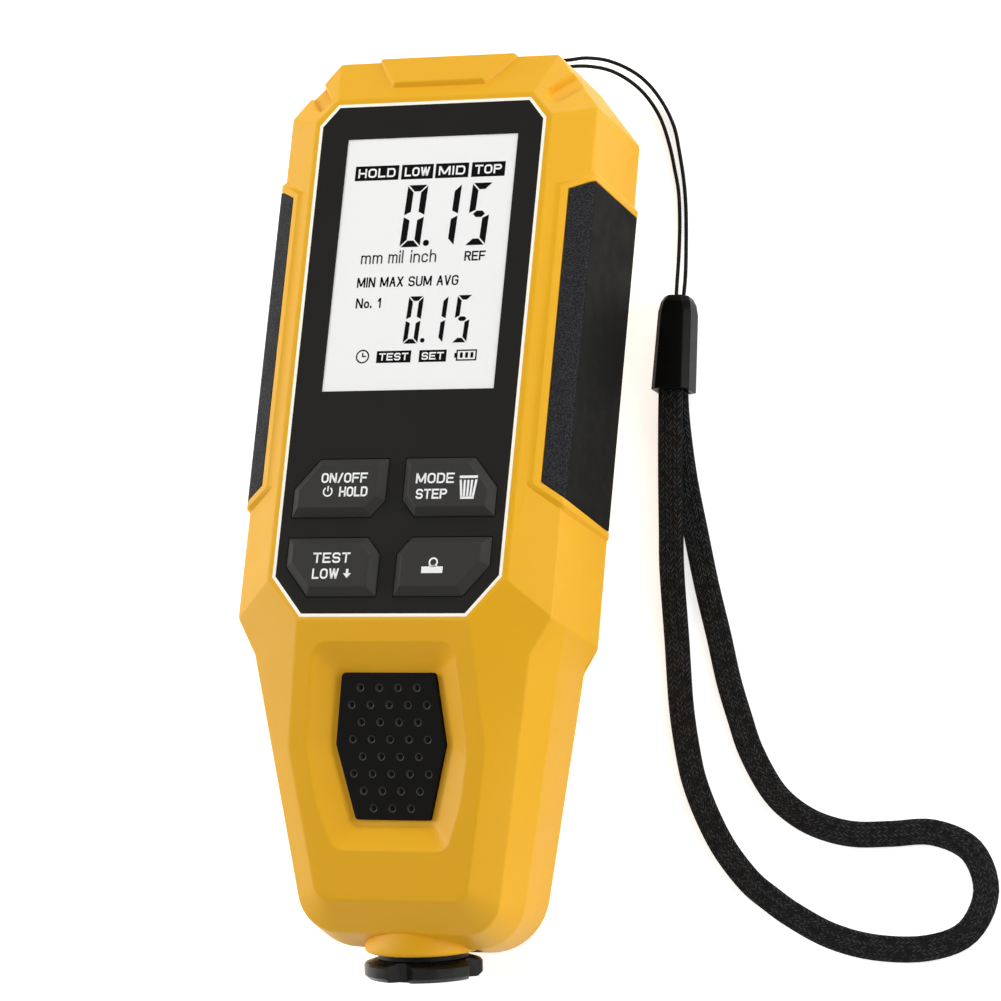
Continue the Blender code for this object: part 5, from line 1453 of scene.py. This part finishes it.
def stage():
    bpy.ops.mesh.primitive_plane_add(size=6.0, location=(0.0, 0.0, -0.0002))
    floor = bpy.context.object
    floor.name = "floor"
    shade = Shade("floor_white", (0.86, 0.86, 0.86), 0.9)
    away = shade.add("ShaderNodeVectorMath", operation="LENGTH")
    shade.link(shade.place(), away.inputs[0])
    share = shade.add("ShaderNodeMath", operation="MULTIPLY")
    shade.link(backdrop_rays(shade.material.node_tree), share.inputs[0])
    shade.link(shade.ramp(away.outputs["Value"], FLOOR_GLOW, 1.0, 0.12, 0.5), share.inputs[1])
    shade.shader.inputs["Emission Color"].default_value = (1.0, 1.0, 1.0, 1.0)
    shade.link(share.outputs[0], shade.shader.inputs["Emission Strength"])
    floor.data.materials.append(shade.material)
    world = bpy.context.scene.world or bpy.data.worlds.new("world")
    bpy.context.scene.world = world
    world.use_nodes = True
    nodes, links = world.node_tree.nodes, world.node_tree.links
    ground = nodes["Background"]
    ground.inputs["Color"].default_value = (1.0, 1.0, 1.0, 1.0)
    ground.inputs["Strength"].default_value = 0.03
    bright = nodes.new("ShaderNodeBackground")
    bright.inputs["Strength"].default_value = 1.0
    mix = nodes.new("ShaderNodeMixShader")
    links.new(backdrop_rays(world.node_tree), mix.inputs["Fac"])
    links.new(ground.outputs[0], mix.inputs[1])
    links.new(bright.outputs[0], mix.inputs[2])
    links.new(mix.outputs[0], nodes["World Output"].inputs["Surface"])
    bpy.context.scene.view_settings.view_transform = "Standard"


def area_light(name, place, target, size, power):
    light = bpy.data.lights.new(name, "AREA")
    light.shape = "RECTANGLE"
    light.size, light.size_y = size
    light.energy = power
    lamp = placed(name, light)
    lamp.location = place
    lamp.rotation_euler = (Vector(target) - Vector(place)).to_track_quat("-Z", "Y").to_euler()


def lights():
    """Soft boxes low at both sides, above the strap end and, weaker, below the probe end."""
    for name, place, size, power in (
        ("left_low", (-0.85, 0.05, 0.22), (0.4, 0.9), 5.6),
        ("left_high", (-0.65, 0.05, 0.7), (0.4, 0.9), 3.2),
        ("right_low", (0.85, 0.1, 0.18), (0.4, 0.9), 6.4),
        ("top_end", (0.3, 0.95, 0.5), (0.8, 0.4), 6.0),
        ("probe_end", (0.1, -0.95, 0.3), (0.9, 0.4), 1.6),
        ("probe_end_right", (0.7, -0.6, 0.3), (0.5, 0.5), 1.3),
    ):
        area_light(name, place, (0.0, 0.0, 0.02), size, power)


def camera():
    data = bpy.data.cameras.new("camera")
    data.sensor_width = 36.0
    data.lens = 178.96
    data.clip_start, data.clip_end = 0.05, 20.0
    view = placed("camera", data)
    view.location = (0.28843, -0.13795, 0.70168)
    view.rotation_euler = tuple(math.radians(a) for a in (12.2174, 21.3569, 3.9002))
    bpy.context.scene.camera = view


CAD_FINISH = {
    "key_mat": SILICONE,
    "lcd_glass": CLEAR,
    "lcd_backlight": DIM_WHITE,
    "main_board": MASK,
    "buzzer": PART_BLACK,
    "cell_left": JACKET,
    "cell_right": JACKET,
    "cell_contact_low": STEEL,
    "cell_contact_top": STEEL,
    "cell_spring_left": STEEL,
    "cell_spring_right": STEEL,
    "sensor_coil": COPPER,
}


def main():
    camera()
    stage()
    lights()
    strap_cord()
    strap_webbing()
    for name, finish in CAD_FINISH.items():
        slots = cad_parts[name].data.materials
        slots.clear()
        slots.append(finish)
    clasp()
    front_shell()
    rear_cover()
    screws()
    battery_door()
    probe()
    face_panel()
    keys()
    display_marks()
    key_marks()
    grips()
    thumb_pad()


main()
